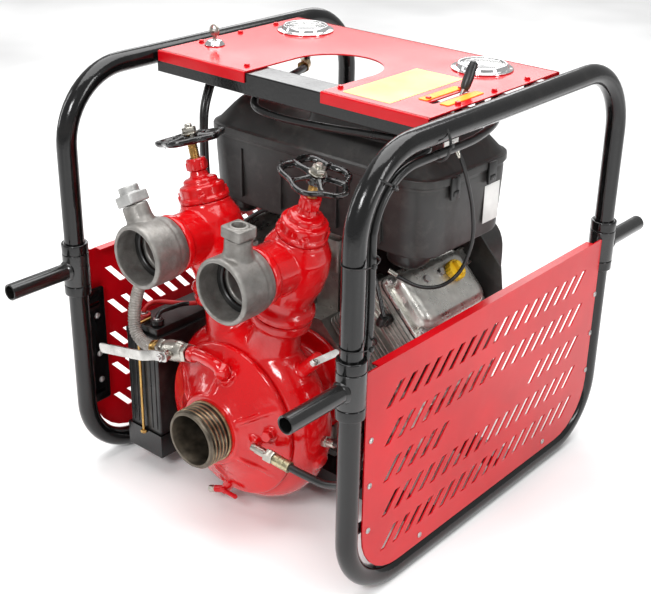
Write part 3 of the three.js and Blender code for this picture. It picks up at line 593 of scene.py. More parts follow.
# ------------------------------------------------------------------ carrying frame
TUBE = 16.85
LOOP_X, UPRIGHT_Y = 300, 350
RAIL_LOW, RAIL_HIGH = 16.85, 716.85
BEND_LOW, BEND_TOP = 110, 120
HANDLE_Z = 388
SLEEVE_R, SLEEVE_BORE, SLEEVE_HALF = 22.5, 18.3, 28
TAB_X, TAB_HEIGHTS = 5.2, (140, 220, 298)  # side panel tabs, out from a loop's plane
BRACKET_X, BRACKET_STATIONS = 23, (-80, 14, 105)  # top panel brackets, in from it


def arc(a, b, radius, start, end, steps):
    return [(a + radius * math.cos(math.radians(start + (end - start) * i / steps)),
             b + radius * math.sin(math.radians(start + (end - start) * i / steps)))
            for i in range(steps + 1)]


def loop_points():
    low, high = UPRIGHT_Y - BEND_LOW, UPRIGHT_Y - BEND_TOP
    half = arc(low, RAIL_LOW + BEND_LOW, BEND_LOW, -90, 0, 14) + arc(high, RAIL_HIGH - BEND_TOP, BEND_TOP,
                                                                     0, 90, 14)
    back = [(-y, z) for y, z in reversed(half)]
    return [(0, y, z) for y, z in [(0, RAIL_LOW), *half, (0, RAIL_HIGH), *back, (0, RAIL_LOW)]]


def frame_loop(side):
    parts = [sweep(loop_points(), TUBE, 36, ends=False)]
    for y in (-UPRIGHT_Y, UPRIGHT_Y):
        for low in (HANDLE_Z - 46.3, HANDLE_Z + 28.3):
            collar = [(TUBE - 1, low), (SLEEVE_R, low), (SLEEVE_R, low + 18), (TUBE - 1, low + 18)]
            parts.append(moved(revolve(collar, 36, 2.0), move(0, y, 0)))
            weld = [(TUBE - 1, low - 3), (TUBE + 1.4, low - 1.5), (TUBE + 3, low), (TUBE - 1, low)]
            parts.append(moved(revolve(weld, 36), move(0, y, 0)))
        for z in TAB_HEIGHTS:
            inner, outer = (306, 340) if y > 0 else (-340, -306)
            parts.append(block(side * TAB_X - 2, side * TAB_X + 2, inner, outer, z - 9, z + 9, 0.8))
    for y in (-180, 190):
        parts.append(block(side * TAB_X - 2, side * TAB_X + 2, y - 10, y + 10, 31, 62, 0.8))
    for y in BRACKET_STATIONS:
        parts.append(block(-side * BRACKET_X - 12, -side * BRACKET_X + 12, y - 9, y + 9, RAIL_HIGH - 4,
                           726.2, 0.8))
    if side < 0:
        plate = rectangle(-342, -298, 118, 338, 6)
        slots = [rectangle(-334, -308, z - 4, z + 4, 3.5, 3) for z in (138, 308)]
        parts.append(moved(slab(plate, -2, 2, slots, 0.5), ALONG_X))
    return placed(parts, move(side * LOOP_X, 0, 0))


piece("frame_loop_right_tube", frame_loop(1), "frame_paint", replaces=["frame_loop_right"])
piece("frame_loop_left_tube", frame_loop(-1), "frame_paint", replaces=["frame_loop_left"])
piece("left_plate_screws", [button((-297.8, -316, z), (1, 0, 0), 5) for z in (160, 212, 286)], "zinc")

sleeve = revolve([(SLEEVE_BORE, -SLEEVE_HALF), (SLEEVE_R, -SLEEVE_HALF), (SLEEVE_R, SLEEVE_HALF),
                  (SLEEVE_BORE, SLEEVE_HALF)], 40, 1.5)
bar = revolve([(0, 19.8), (14, 19.8), (14, 134), (12.6, 135), (11, 134), (11, 96), (0, 96)], 40)
sleeve_weld = revolve([(13, 20), (17.5, 20), (16.5, 22.5), (14.2, 25), (13, 25)], 40)
for end, y in (("front", -1), ("rear", 1)):
    for hand, x in (("right", 1), ("left", -1)):
        node = f"carry_handle_{end}_{hand}"
        arm = merged([moved(bar, turn("X", -90 * y)), moved(sleeve_weld, turn("X", -90 * y)), sleeve])
        piece(node + "_tube", [moved(arm, move(x * LOOP_X, y * UPRIGHT_Y, HANDLE_Z))], "grip_rubber", node,
              [node])

channel = rounded([(-165.2, 692), (-165.2, 726.2), (-112, 726.2), (-112, 692), (-115, 692), (-115, 723.2),
                   (-162.2, 723.2), (-162.2, 692)], 2.2, 3, closed=True)
piece("top_channel_fold", [moved(slab(channel, -282, 282), ALONG_X)], "frame_paint",
      replaces=["top_channel"], even=True)

# ------------------------------------------------------------------ top panel
NOTCH_R, NOTCH_Y = 79, -43
PANEL_X, PANEL_FRONT, PANEL_BACK, PANEL_TOP = 277, -168, 181, 729
GAUGES = {"pressure": (178, 110), "vacuum": (-198, 110)}
KEY = (-235, -78)
LEVER = Vector((235, -60, 669))


def top_panel():
    notch = arc(0, NOTCH_Y, NOTCH_R, 180, 0, 30)
    sheet = [(-PANEL_X, -165), (-NOTCH_R, -165), *notch, (NOTCH_R, -165), (PANEL_X, -165), (PANEL_X, 178),
             (-PANEL_X, 178)]
    holes = [circle(*GAUGES["pressure"], 39.4), circle(*GAUGES["vacuum"], 39.4), circle(*KEY, 11),
             rectangle(LEVER.x - 5.5, LEVER.x + 5.5, -105, -13, 5)]
    parts = [slab(sheet, 726.5, 729, holes, 0.4)]
    for y, inward in ((PANEL_FRONT, 1), (PANEL_BACK, -1)):
        fold = [(y, 711), (y, 729, 4.0), (y + inward * 6, 729, 0.3), (y + inward * 6, 726.5, 0.3),
                (y + inward * 2.5, 726.5, 1.5), (y + inward * 2.5, 711)]
        lip = rounded(fold, 0.4, 4, closed=True)
        spans = [(-PANEL_X, -NOTCH_R), (NOTCH_R, PANEL_X)] if inward > 0 else [(-PANEL_X, PANEL_X)]
        parts += [moved(slab(lip, low, high), ALONG_X) for low, high in spans]
    return parts


piece("top_panel_sheet", top_panel(), "panel_red", replaces=["top_panel"], even=True)
PANEL_BOLTS = [(-100, -139), (88, -132), (219, -89), (222, -12), (265, 14), (265, 105), (265, -80),
               (-265, 14), (-265, 105), (-265, -80)]
piece("top_panel_bolts",
      [bolt((x, y, PANEL_TOP), (0, 0, 1), 4.6, 15 * i) for i, (x, y) in enumerate(PANEL_BOLTS)],
      "panel_red")
piece("panel_label_yellow", [slab(rectangle(104, 193, -147, 36, 3), PANEL_TOP, PANEL_TOP + 0.35)],
      "label_yellow")
piece("throttle_plate", [slab(rectangle(246, 262, -100, -8, 3), PANEL_TOP, PANEL_TOP + 1.2, edge=0.3),
                         slab(rectangle(208, 224, -100, -8, 3), PANEL_TOP, PANEL_TOP + 1.2, edge=0.3)],
      "label_orange")

# ------------------------------------------------------------------ gauges, key and throttle
for name, (x, y) in GAUGES.items():
    at = move(x, y, PANEL_TOP)
    case = [(0, -39), (7, -39), (7, -29), (38, -29), (38, 0.3), (50, 0.3), (50, 2.3), (42, 3.4), (40.6, 8),
            (39, 9.6), (36.5, 9.6), (35.2, 7.5), (35.2, 1.6), (0, 1.6)]
    piece(f"{name}_gauge_bezel", [moved(revolve(case, 72, 0.5), at)], "bezel_chrome",
          replaces=[f"{name}_gauge_case"])
    piece(f"{name}_gauge_dial", [moved(revolve([(0, 1.7), (35, 1.7), (35, 2.1), (0, 2.1)], 60), at)],
          "dial_white")
    marks = []
    for i in range(55):
        length = 6.5 if i % 9 == 0 else 3.2
        mark = block(-0.35 - 0.25 * (i % 9 == 0), 0.35 + 0.25 * (i % 9 == 0), 32.5 - length, 32.5, 2.1,
                     2.35, 0)
        marks.append(moved(mark, at @ turn("Z", 135 - i * 5)))
    marks.append(moved(slab(circle(0, 0, 33.6, 72), 2.1, 2.3, [circle(0, 0, 33.0, 72)]), at))
    piece(f"{name}_gauge_marks", marks, "needle_black")
    piece(f"{name}_gauge_glass", [moved(revolve([(0, 6.6), (35.1, 6.6), (35.1, 7.6), (20, 8.4),
                                                 (0, 8.8)], 60), at)],
          "gauge_glass")
    screws = [button((x + 46 * math.cos(a), y + 46 * math.sin(a), PANEL_TOP + 2.4), (0, 0, 1), 2.6)
              for a in (math.radians(30), math.radians(150), math.radians(270))]
    piece(f"{name}_gauge_screws", screws, "zinc")
    pointer = slab([(-1.3, -9), (1.3, -9), (0.9, 14), (0.25, 29), (-0.25, 29), (-0.9, 14)], 3, 4.2)
    hub = revolve([(0, 2.4), (4, 2.4), (4, 5), (2.5, 5.6), (0, 5.6)], 24, 0.4)
    piece(f"{name}_needle_pointer", [moved(merged([pointer, hub]), at @ turn("Z", 135))], "needle_black",
          f"{name}_needle", [f"{name}_gauge_needle"])
    piece(f"{name}_gauge_union", [moved(hexagon(17, -52, -40), at), moved(hexagon(14, -62, -53), at)],
          "nickel")

at = move(*KEY, PANEL_TOP)
flange = [(0, -30), (10.4, -30), (10.4, 0.3), (17, 0.3), (17.5, 1.5), (15, 4.5), (12, 8), (3, 8), (3, 7.2),
          (0, 7.2)]
piece("key_switch_barrel", [moved(revolve(flange, 40, 0.5), at)], "bezel_chrome", replaces=["key_switch"])
bow = slab([*arc(0, 24, 11, -50, 230, 20)], -1.2, 1.2, [circle(0, 28, 4.5, 20)], 0.35)
blade = slab([(-3.6, 8.3), (3.6, 8.3), (3.6, 17), (-3.6, 17)], -1.0, 1.0)
piece("ignition_key_bow", [moved(merged([bow, blade]), at @ turn("X", 90))], "nickel", "ignition_key",
      ["ignition_key"])

lever_base = Matrix.Translation(LEVER)
piece("throttle_bracket_plate", [
    moved(merged([block(7, 10, -18, 18, -14, 57.2, 0.6), block(7, 30, -18, 18, 54.2, 57.2, 0.6),
                  moved(hexagon(11, 10, 15), turn("Y", 90))]), lever_base)], "bare_steel",
      replaces=["throttle_bracket"])
stick = slab(rounded([(-7, -9), (7, -9), (5, 30), (4, 80), (-4, 80),
                      (-5, 30)], 3, 3, closed=True), -2, 2, edge=0.4)
stick = moved(stick, ALONG_X)
grip = revolve([(0, 74), (5.5, 74), (7.2, 78), (8, 90), (7.6, 108), (6.2, 116), (3, 118.5), (0, 118.8)], 32)
pin = moved(revolve([(0, -5), (4, -5), (4, 5), (0, 5)], 24, 0.5), turn("Y", 90))
swing = lever_base @ turn("X", -31)
piece("throttle_lever_stick", [moved(merged([stick, pin]), swing)], "bare_steel", "throttle_lever",
      ["throttle_lever"])
piece("throttle_lever_grip", [moved(grip, swing)], "hose_rubber", "throttle_lever")

# ------------------------------------------------------------------ side panel screws
SIDE_X = 312
for hand, side in (("right", 1), ("left", -1)):
    spots = [(-315, 290), (-315, 212), (-315, 132), (325, 300), (325, 222), (325, 145), (-180, 50),
             (190, 52)]
    screws = [button((side * SIDE_X, side * y, z), (side, 0, 0), 4.2) for y, z in spots]
    piece(f"side_panel_{hand}_screws", screws, "zinc")


# ------------------------------------------------------------------ pump
PUMP_Z = 188
VOLUTE_Y = -238
CYLINDER_LEAN = 45
SEAT, DISC_THICKNESS = -55, 8  # heights along a valve's stem
SPOKES = 5
AXIS = move(0, 0, PUMP_Z) @ FORWARD  # heights are distances in front of y = 0
VALVE_X, VALVE_Y, VALVE_Z, VALVE_LEAN = 91, -235, 482, 16


def valve_frame(side):
    return move(side * VALVE_X, VALVE_Y, VALVE_Z) @ turn("Y", side * VALVE_LEAN)


def pump_ray(angle):
    """Local +Z leaves the pump's axis at an angle from straight up, towards +X."""
    return move(0, 0, PUMP_Z) @ turn("Y", angle)


def volute():
    shell = [(0, 282), (136, 282), (150, 268), (158, 250), (158, 226), (150, 208), (134, 194), (74, 188),
             (66, 150), (66, 112), (96, 108), (96, 95.5), (0, 95.5)]
    parts = [moved(revolve(shell, 96, 8), AXIS)]
    for side in (1, -1):
        neck = [(0, -200), (54, -200), (44, -160), (40, -135), (40, -120), (51, -115), (51, -98.2),
                (0, -98.2)]
        parts.append(moved(revolve(neck, 64, 2.5), valve_frame(side)))
    boss = revolve([(0, 140), (15, 140), (12, 160), (12, 206), (0, 206)], 32, 2)
    parts.append(moved(boss, move(0, VOLUTE_Y, 0) @ pump_ray(45)))
    for angle in (-75, 105, 180):
        pad = revolve([(0, 150), (14, 150), (14, 161), (10, 163), (0, 163)], 32, 1.5)
        parts.append(moved(pad, move(0, VOLUTE_Y, 0) @ pump_ray(angle)))
    cavity = [(0, 284), (118, 284), (118, 270), (133, 252), (133, 224), (112, 206), (30, 206), (30, 190),
              (17.5, 190), (17.5, 80), (0, 80)]
    return parts, [moved(revolve(cavity, 64), AXIS)]


parts, bores = volute()
piece("volute_casting", parts, "pump_red", replaces=["volute_casing"], edit=cast(2.6, 8, bores), angle=60)


def cover():
    dish = [(38, 268), (46, 268), (46, 282.3), (133, 282.3), (134, 292), (118, 299), (92, 311), (74, 323),
            (62, 333), (60, 337.7), (38, 337.7)]
    parts = [moved(revolve(dish, 96, 3), AXIS)]
    for k in range(6):
        rib = slab([(50, 300), (124, 288), (126, 296), (98, 313), (80, 327), (62, 334),
                    (50, 330)], -4, 4, edge=1)
        parts.append(moved(rib, AXIS @ turn("Z", 30 + 60 * k) @ turn("X", 90)))
    elbow = revolve([(0, -4), (14, -4), (14, 30), (0, 30)], 32, 2)
    parts.append(moved(elbow, aimed((15, -296, PUMP_Z + 74), (0, -0.62, 0.78))))
    for at, direction, radius, length in (((80, -300, 190), (0, -1, 0), 12, 24),
                                          ((0, -290, 66), (-0.55, -0.1, -0.83), 9, 24),
                                          ((101, -290, 208), (0.2, -1, 0.1), 10, 22)):
        parts.append(moved(revolve([(0, -6), (radius, -6), (radius, length), (0, length)], 32, 2),
                           aimed(at, direction)))
    return parts


piece("front_cover_casting", cover(), "pump_red", replaces=["front_cover"], edit=cast(2.0, 5), angle=60)
piece("cover_plug", [moved(hexagon(16, 22, 31), aimed((101, -290, 208), (0.2, -1, 0.1), 12))], "pump_red")
collar = [(38, 338), (52, 338), (52, 342), (47.5, 343.5), (38, 343.5)]
piece("suction_thread",
      [moved(thread(50.7, 7.4, 343, 380.6, 3.4, 44, 72), AXIS), moved(revolve(collar, 72, 0.6), AXIS)],
      "bronze_dark", replaces=["suction_adaptor"])
liner = [(36.8, 271), (37.8, 271), (37.8, 340), (43.8, 352), (46.2, 380.6), (45.4, 381), (42.9, 381),
         (42.2, 380), (42.2, 354), (36.8, 342)]
piece("suction_liner", [moved(revolve(liner, 72), AXIS)], "bronze_dark")

# ------------------------------------------------------------------ delivery valves and couplings
def wheel_parts():
    def rim(angle):
        return 49 + 4.6 * math.cos(SPOKES * angle)

    loop = [(rim(a) * math.cos(a), rim(a) * math.sin(a), 149)
            for a in [2 * math.pi * k / 80 for k in range(81)]]
    parts = [sweep(loop, 6.2, 14, flat=0.72, ends=False)]
    for k in range(SPOKES):
        a = 2 * math.pi * (k + 0.5) / SPOKES
        spoke = [((12 + 34 * t) * math.cos(a), (12 + 34 * t) * math.sin(a), 151 - 3 * t)
                 for t in (0, 0.25, 0.5, 0.75, 1)]
        parts.append(sweep(spoke, [7.5, 5.5, 4.8, 5.4, 7.0], 12, flat=0.7))
    parts.append(revolve([(8.6, 140), (15, 140), (14, 154), (8.6, 154)], 32, 1.2))
    return parts


for hand, side, lift in (("right", 1, 5.3), ("left", -1, 10.3)):
    at = valve_frame(side)
    disc_top = SEAT + lift + DISC_THICKNESS
    shell = [(0, -97.7), (51.2, -97.7), (51.2, -82), (43, -75), (44, -62), (53, -34), (55.4, -6),
             (52.5, 22), (44, 39), (41, 43), (41, 48), (0, 48)]
    branch = [(0, 0), (44, 0), (42.5, 60), (43, 76), (47, 80), (47, 90.7), (0, 90.7)]
    ring = [(0, -90), (52.6, -90), (52.6, -86), (0, -86)]
    bores = [revolve([(0, -99), (31, -99), (31, -62), (27, SEAT - 5), (27, SEAT), (43, -46), (43, 28),
                      (33, 38), (33, 50), (0, 50)], 48),
             moved(revolve([(0, 0), (33, 0), (33, 95), (0, 95)], 48), FORWARD)]
    body = [revolve(shell, 80, 3), moved(revolve(branch, 72, 2), FORWARD), revolve(ring, 80, 1.5)]
    body = placed(body, at)
    piece(f"delivery_valve_{hand}_casting", body, "pump_red", replaces=[f"delivery_valve_body_{hand}"],
          edit=cast(1.9, 5, placed(bores, at)), angle=60)
    cap = [(8.8, 48.3), (40.5, 48.3), (40.5, 55), (37, 57), (37, 72), (35, 75), (28, 76.5), (28, 83),
           (24, 86), (15.5, 88), (13, 98), (8.8, 98)]
    bonnet = [revolve(cap, 72, 1.2)]
    for k in range(4):
        bonnet.append(moved(revolve([(0, 50), (7, 50), (7, 61), (5, 63),
                                     (0, 63)], 24, 1), turn("Z", 45 + 90 * k) @ move(34.5, 0, 0)))
    piece(f"bonnet_{hand}_casting", placed(bonnet, at), "pump_red",
          replaces=[f"delivery_valve_bonnet_{hand}"], edit=cast(1.5, 3), angle=60)
    studs = [moved(hexagon(9, 62.5, 67.5), at @ turn("Z", 45 + 90 * k) @ move(34.5, 0, 0))
             for k in range(4)]
    piece(f"bonnet_{hand}_bolts", studs, "pump_red")
    gland = merged([hexagon(31, 99, 113, 2.5), revolve([(8.8, 98.2), (16.2, 98.2), (16.2, 115), (14, 117.5),
                                                        (8.8, 117.5)], 40, 1.2)])
    piece(f"gland_nut_{hand}", [moved(gland, at)], "pump_red")
    stem = [revolve([(0, disc_top + 0.3), (8, disc_top + 0.3), (8, 112), (0, 112)], 32, 0.5),
            thread(8, 3.0, 111, 139, 0.9, 0, 32), revolve([(0, 138), (7.6, 138), (7.6, 156), (0, 156)], 32)]
    piece(f"stem_{hand}_thread", placed(stem, at), "brass_bare", f"valve_stem_{hand}",
          [f"delivery_valve_stem_{hand}"])
    nut = [revolve([(0, 156.2), (13.5, 156.2), (13.5, 158), (0, 158)], 32, 0.4), hexagon(20, 158, 167, 1.4),
           revolve([(0, 166), (6, 166), (6, 171), (4.6, 172.3), (0, 172.3)], 24)]
    piece(f"wheel_nut_{hand}", placed(nut, at), "nickel", f"valve_stem_{hand}")
    piece(f"handwheel_{hand}_casting", placed(wheel_parts(), at), "wheel_black", f"valve_stem_{hand}",
          [f"handwheel_{hand}"], edit=cast(1.4, 4), angle=60)
    disc = [(0, SEAT + lift), (30, SEAT + lift), (32, SEAT + 2 + lift), (32, disc_top - 2), (20, disc_top),
            (0, disc_top)]
    piece(f"valve_disc_{hand}_turned", [moved(revolve(disc, 48, 0.5), at)], "brass_bare",
          f"valve_disc_{hand}",
          [f"delivery_valve_disc_{hand}"])

LUG_Y = -361
for hand, side, tilt in (("right", 1, 4), ("left", -1, -28)):
    middle = move(side * VALVE_X, 0, VALVE_Z)
    lug = middle @ turn("Y", tilt) @ move(0, LUG_Y, 0)
    shell = [(44, 396), (48.5, 396), (51.6, 392.5), (51.6, 349), (50.4, 346), (50.4, 338), (47, 327),
             (33, 326.3), (33, 346), (42, 350), (44, 354)]
    coupling = [moved(revolve(shell, 80, 1.2), middle @ FORWARD),
                moved(revolve([(7.4, 47), (24, 47), (21, 56), (20.5, 74), (19, 77.7),
                               (7.4, 77.7)], 48, 1.2), lug)]
    piece(f"coupling_{hand}_casting", coupling, "coupling_grey", replaces=[f"delivery_coupling_{hand}"],
          edit=cast(1.5, 3), angle=60)
    piece(f"coupling_{hand}_gasket", [moved(revolve([(34, 352), (43.6, 354.5), (43.6, 359), (36, 358),
                                                     (34, 356)], 64, 0.8),
                                            middle @ FORWARD)], "hose_rubber")
    head = [slab(rectangle(-19.5, 19.5, -19.5, 19.5, 6, 5), 78.2, 95, edge=1.6)]
    if side > 0:
        head.append(revolve([(9.5, 90), (15.5, 94), (14.5, 97), (11, 97.6), (9.5, 96)], 40, 0.8))
    else:
        head.append(revolve([(11, 90), (16, 94), (16, 106), (14, 107.6), (11, 106)], 40, 0.8))
    holes = [revolve([(0, 86), (10.5, 86), (10.5, 110), (0, 110)], 32)]
    piece(f"release_lug_{hand}_casting", placed(head, lug), "coupling_grey" if side > 0 else "lug_grey",
          f"release_lug_{hand}",
          [f"release_lug_{hand}"], edit=cast(1.1, 2, placed(holes, lug)), angle=60)
    plunger = revolve([(0, 41), (5.4, 41), (6.4, 43), (6.4, 79), (0, 79)], 32)
    piece(f"release_pin_{hand}", [moved(plunger, lug)], "nickel", f"release_lug_{hand}")

# ------------------------------------------------------------------ priming line and cocks
BALL = move(-98, -318, 290) @ turn("Y", -102)
ball = [hexagon(30, -37, -26, 2), revolve([(0, -28), (12, -28), (15, -22), (17.5, -12), (17.5, 12),
                                           (15, 22), (0, 24)], 40, 2),
        hexagon(30, 20, 34, 2), moved(revolve([(0, 10), (9, 10), (9, 24), (0, 24)], 32, 1), FORWARD)]
piece("ball_valve_nickel", placed(ball, BALL), "nickel", replaces=["ball_valve_body"])


def stepped_lever(outline, near, step, start, end, thickness):
    """A flat lever along +Z whose far part steps away from the valve, towards -Y."""
    verts, faces = slab(outline, -thickness / 2, thickness / 2, edge=0.7)
    bm = bmesh.new()
    for v in verts:
        bm.verts.new(v)
    bm.verts.ensure_lookup_table()
    for face in faces:
        bm.faces.new([bm.verts[i] for i in face])
    for k in range(9):
        along = start + (end - start) * k / 8
        bmesh.ops.bisect_plane(bm, geom=bm.verts[:] + bm.edges[:] + bm.faces[:], plane_co=(0, along, 0),
                               plane_no=(0, 1, 0))
    bm.verts.index_update()
    result = []
    for v in bm.verts:
        t = min(1, max(0, (v.co.y - start) / (end - start)))
        result.append((v.co.x, -near - step * t * t * (3 - 2 * t) + v.co.z, v.co.y))
    faces = [tuple(v.index for v in f.verts) for f in bm.faces]
    bm.free()
    return result, faces


lever_outline = rounded([(-9, -12), (9, -12), (9, 12), (9, 150), (-9, 150), (-9, 12)], 8.5, 6, closed=True)
blade = stepped_lever(lever_outline, 27.9, 10, 17, 44, 3.2)
piece("ball_valve_handle", [moved(blade, BALL)], "bare_steel", "ball_valve_lever", ["ball_valve_lever"])
piece("ball_valve_nut", [moved(merged([hexagon(13, 29.4, 35), revolve([(0, 35), (4, 35), (4, 38), (0, 38)],
                                                                      20, 0.5)]), BALL @ FORWARD)],
      "zinc", "ball_valve_lever")
pipe_route = smooth_route([(-60, -318, 298), (-38, -319, 302.5), (-14, -322, 304), (3, -323, 303),
                           (13, -321, 296), (15, -316, 288)], 2)
elbow = [sweep(pipe_route, 10.5, 28), moved(revolve([(0, 0), (13.5, 0), (13.5, 12), (0, 12)], 32, 1.5),
                                            aimed((-60, -318, 298), (0.978, -0.04, 0.2))),
         moved(revolve([(0, -9), (13.5, -9), (14, 4), (10, 12),
                        (0, 13)], 32, 3), aimed((13.5, -320, 295), (0.2, -0.45, 0.87)))]
piece("priming_elbow", elbow, "pump_red", replaces=["priming_pipe"], edit=cast(1.3, 4), angle=60)

BRAID_ROUTE = [(-135, -318, 282), (-156, -318, 277), (-180, -318, 280), (-198, -316, 296),
               (-205, -308, 330), (-200, -296, 372), (-180, -280, 412), (-155, -262, 440)]
route = smooth_route(BRAID_ROUTE, 1.2)
ribs = [9.6 + 1.3 * abs(math.sin(i * math.pi / 4)) ** 0.6 for i in range(len(route))]
piece("braided_hose_cover", [sweep(route, ribs, 28)], "braid", replaces=["braided_hose"])
start = (route[4] - route[0]).normalized()
ferrule = revolve([(0, -3), (12.4, -3), (12.4, 4), (11.8, 5), (12.4, 6), (12.4, 15), (0, 15)], 32, 0.6)
piece("braided_hose_ferrule", [moved(ferrule, aimed(route[0], start)),
                               moved(hexagon(22, -8, -3), aimed(route[0], start)),
                               moved(revolve([(0, -4), (12.4, -4), (12.4, 12), (0, 12)], 32, 0.6),
                                     aimed(route[-1], route[-5] - route[-1]))],
      "brass_bare")

drain = aimed((-13.2, -292.4, 46.1), (-0.55, -0.1, -0.83))
spout = aimed((-14, -293, 45), (-0.93, -0.2, -0.3))
piece("drain_cock_body", [moved(hexagon(14, 0, 7), drain), moved(revolve([(0, -2), (6.2, -2), (6.2, 20),
                                                                          (5.4, 21),
                                                                          (0, 21)], 28, 0.8), spout)],
      "panel_red")
piece("drain_cock_tip", [moved(revolve([(0, 20), (5, 20), (5, 24), (6.3, 25), (6.3, 32), (4.4, 33),
                                        (4.4, 28), (0, 28)], 28, 0.4), spout)],
      "nickel")
lever = move(-10, -303, 50)
piece("drain_cock_handle", [moved(merged([moved(revolve([(0, 2), (2.2, 2), (3.4, 6), (4, 30), (3, 33),
                                                         (0, 33)], 28, 1), turn("Y", 90)),
                                          moved(revolve([(0, -2), (5, -2), (5, 10), (0, 10)], 28, 1),
                                                turn("X", -90))]), lever)],
      "panel_red", "drain_cock_lever", ["drain_cock_lever"])
vent = move(150, -254, 334) @ turn("Y", -37)
blade = moved(slab(rectangle(-8, 60, -5.5, 5.5, 5, 5), -1.5, 1.5, edge=0.5), turn("X", 90))
piece("vent_cock_handle", [moved(merged([blade, moved(hexagon(10, 1.5, 6), FORWARD),
                                         moved(revolve([(0, -3.6), (4, -3.6), (4, 2), (0, 2)], 20),
                                               FORWARD)]), vent)],
      "bare_steel", "vent_cock_lever", ["vent_cock_lever"])


# ------------------------------------------------------------------ engine
def loft(rings):
    """A closed skin through outlines of equal length at rising heights."""
    verts, faces = [], []
    count = len(rings[0][0])
    for outline, z in rings:
        verts += [(x, y, z) for x, y in outline]
    for i in range(len(rings) - 1):
        for k in range(count):
            n = (k + 1) % count
            faces.append((i * count + k, i * count + n, (i + 1) * count + n, (i + 1) * count + k))
    faces += [tuple(range(count))[::-1], tuple(range(len(verts) - count, len(verts)))]
    return verts, faces


HOUSING_X, HOUSING_FRONT, HOUSING_BACK = 238, -104, 135
HOUSING_LOW, HOUSING_HIGH = 470, 590


def shell_ring(inset, z, radius=55):
    return rectangle(-HOUSING_X + inset, HOUSING_X - inset, HOUSING_FRONT + inset, HOUSING_BACK - inset,
                     max(radius - inset, 8), 6), z


housing = [loft([shell_ring(14, HOUSING_LOW + 0.2), shell_ring(7, HOUSING_LOW + 2),
                 shell_ring(5, HOUSING_LOW + 6), shell_ring(0.5, 560),
                 shell_ring(0, 582), shell_ring(0.5, 583), shell_ring(0.5, 586), shell_ring(0, 587),
                 shell_ring(0, 589), shell_ring(1, HOUSING_HIGH)])]
for x in (-150, -60, 60, 150):
    housing.append(block(x - 2, x + 2, -106, -98, 486, 572, 0.8))
piece("blower_housing_moulding", housing, "black_plastic", replaces=["blower_housing"], angle=32, even=True)

lid = [loft([shell_ring(-3, 590.4), shell_ring(-4, 591.4), shell_ring(-4, 601), shell_ring(-3, 603),
             shell_ring(1, 604),
             shell_ring(4, 606), shell_ring(30, 634), shell_ring(42, 645), shell_ring(46, 647.5),
             shell_ring(52, 648)])]
cleaner = [(rectangle(-30 + i, 150 - i, -76 + i, 70 - i, max(24 - i, 4), 6), z)
           for i, z in ((-6, 640), (-2, 652), (0, 668), (2, 673), (6, 675.5), (10, 676))]
lid.append(loft(cleaner))
for x in (-110, -80, -50):
    lid.append(block(x - 9, x + 9, -40, 70, 647, 650, 1.2))
piece("air_cleaner_lid_moulding", lid, "black_plastic", replaces=["air_cleaner_lid"], angle=32, even=True)
clips = []
for x, y, face in ((243, 60, 1), (243, -40, 1), (-243, 60, -1), (-243, -40, -1)):
    clips.append(block(x - 2.5, x + 2.5, y - 11, y + 11, 566, 602, 1.2))
    clips.append(block(x + face * 2 - 2, x + face * 2 + 2, y - 7, y + 7, 572, 580, 1.0))
piece("lid_latches", clips, "battery_plastic")
piece("housing_label", [block(237.3, 238.4, 51, 93, 497, 561, 0.2)], "label_white")
piece("lid_knob", [moved(revolve([(0, 0), (14, 0), (16, 3), (15, 12), (10, 15),
                                  (0, 16)], 32, 1.2), move(60, 0, 675.5))], "battery_plastic")
for hand, side in (("right", 1), ("left", -1)):
    skirt = rounded([(side * 150, -97), (side * 212, -97), (side * 216, -40), (side * 150, -40)], 24, 6,
                    closed=True)
    middle = Vector((side * 182, -68))
    rings = [([tuple(middle + (Vector(p) - middle) * f) for p in skirt], z)
             for f, z in ((1, 472), (1, 462), (0.92, 455), (0.75, 450))]
    piece(f"housing_skirt_{hand}", [loft(rings)], "battery_plastic")

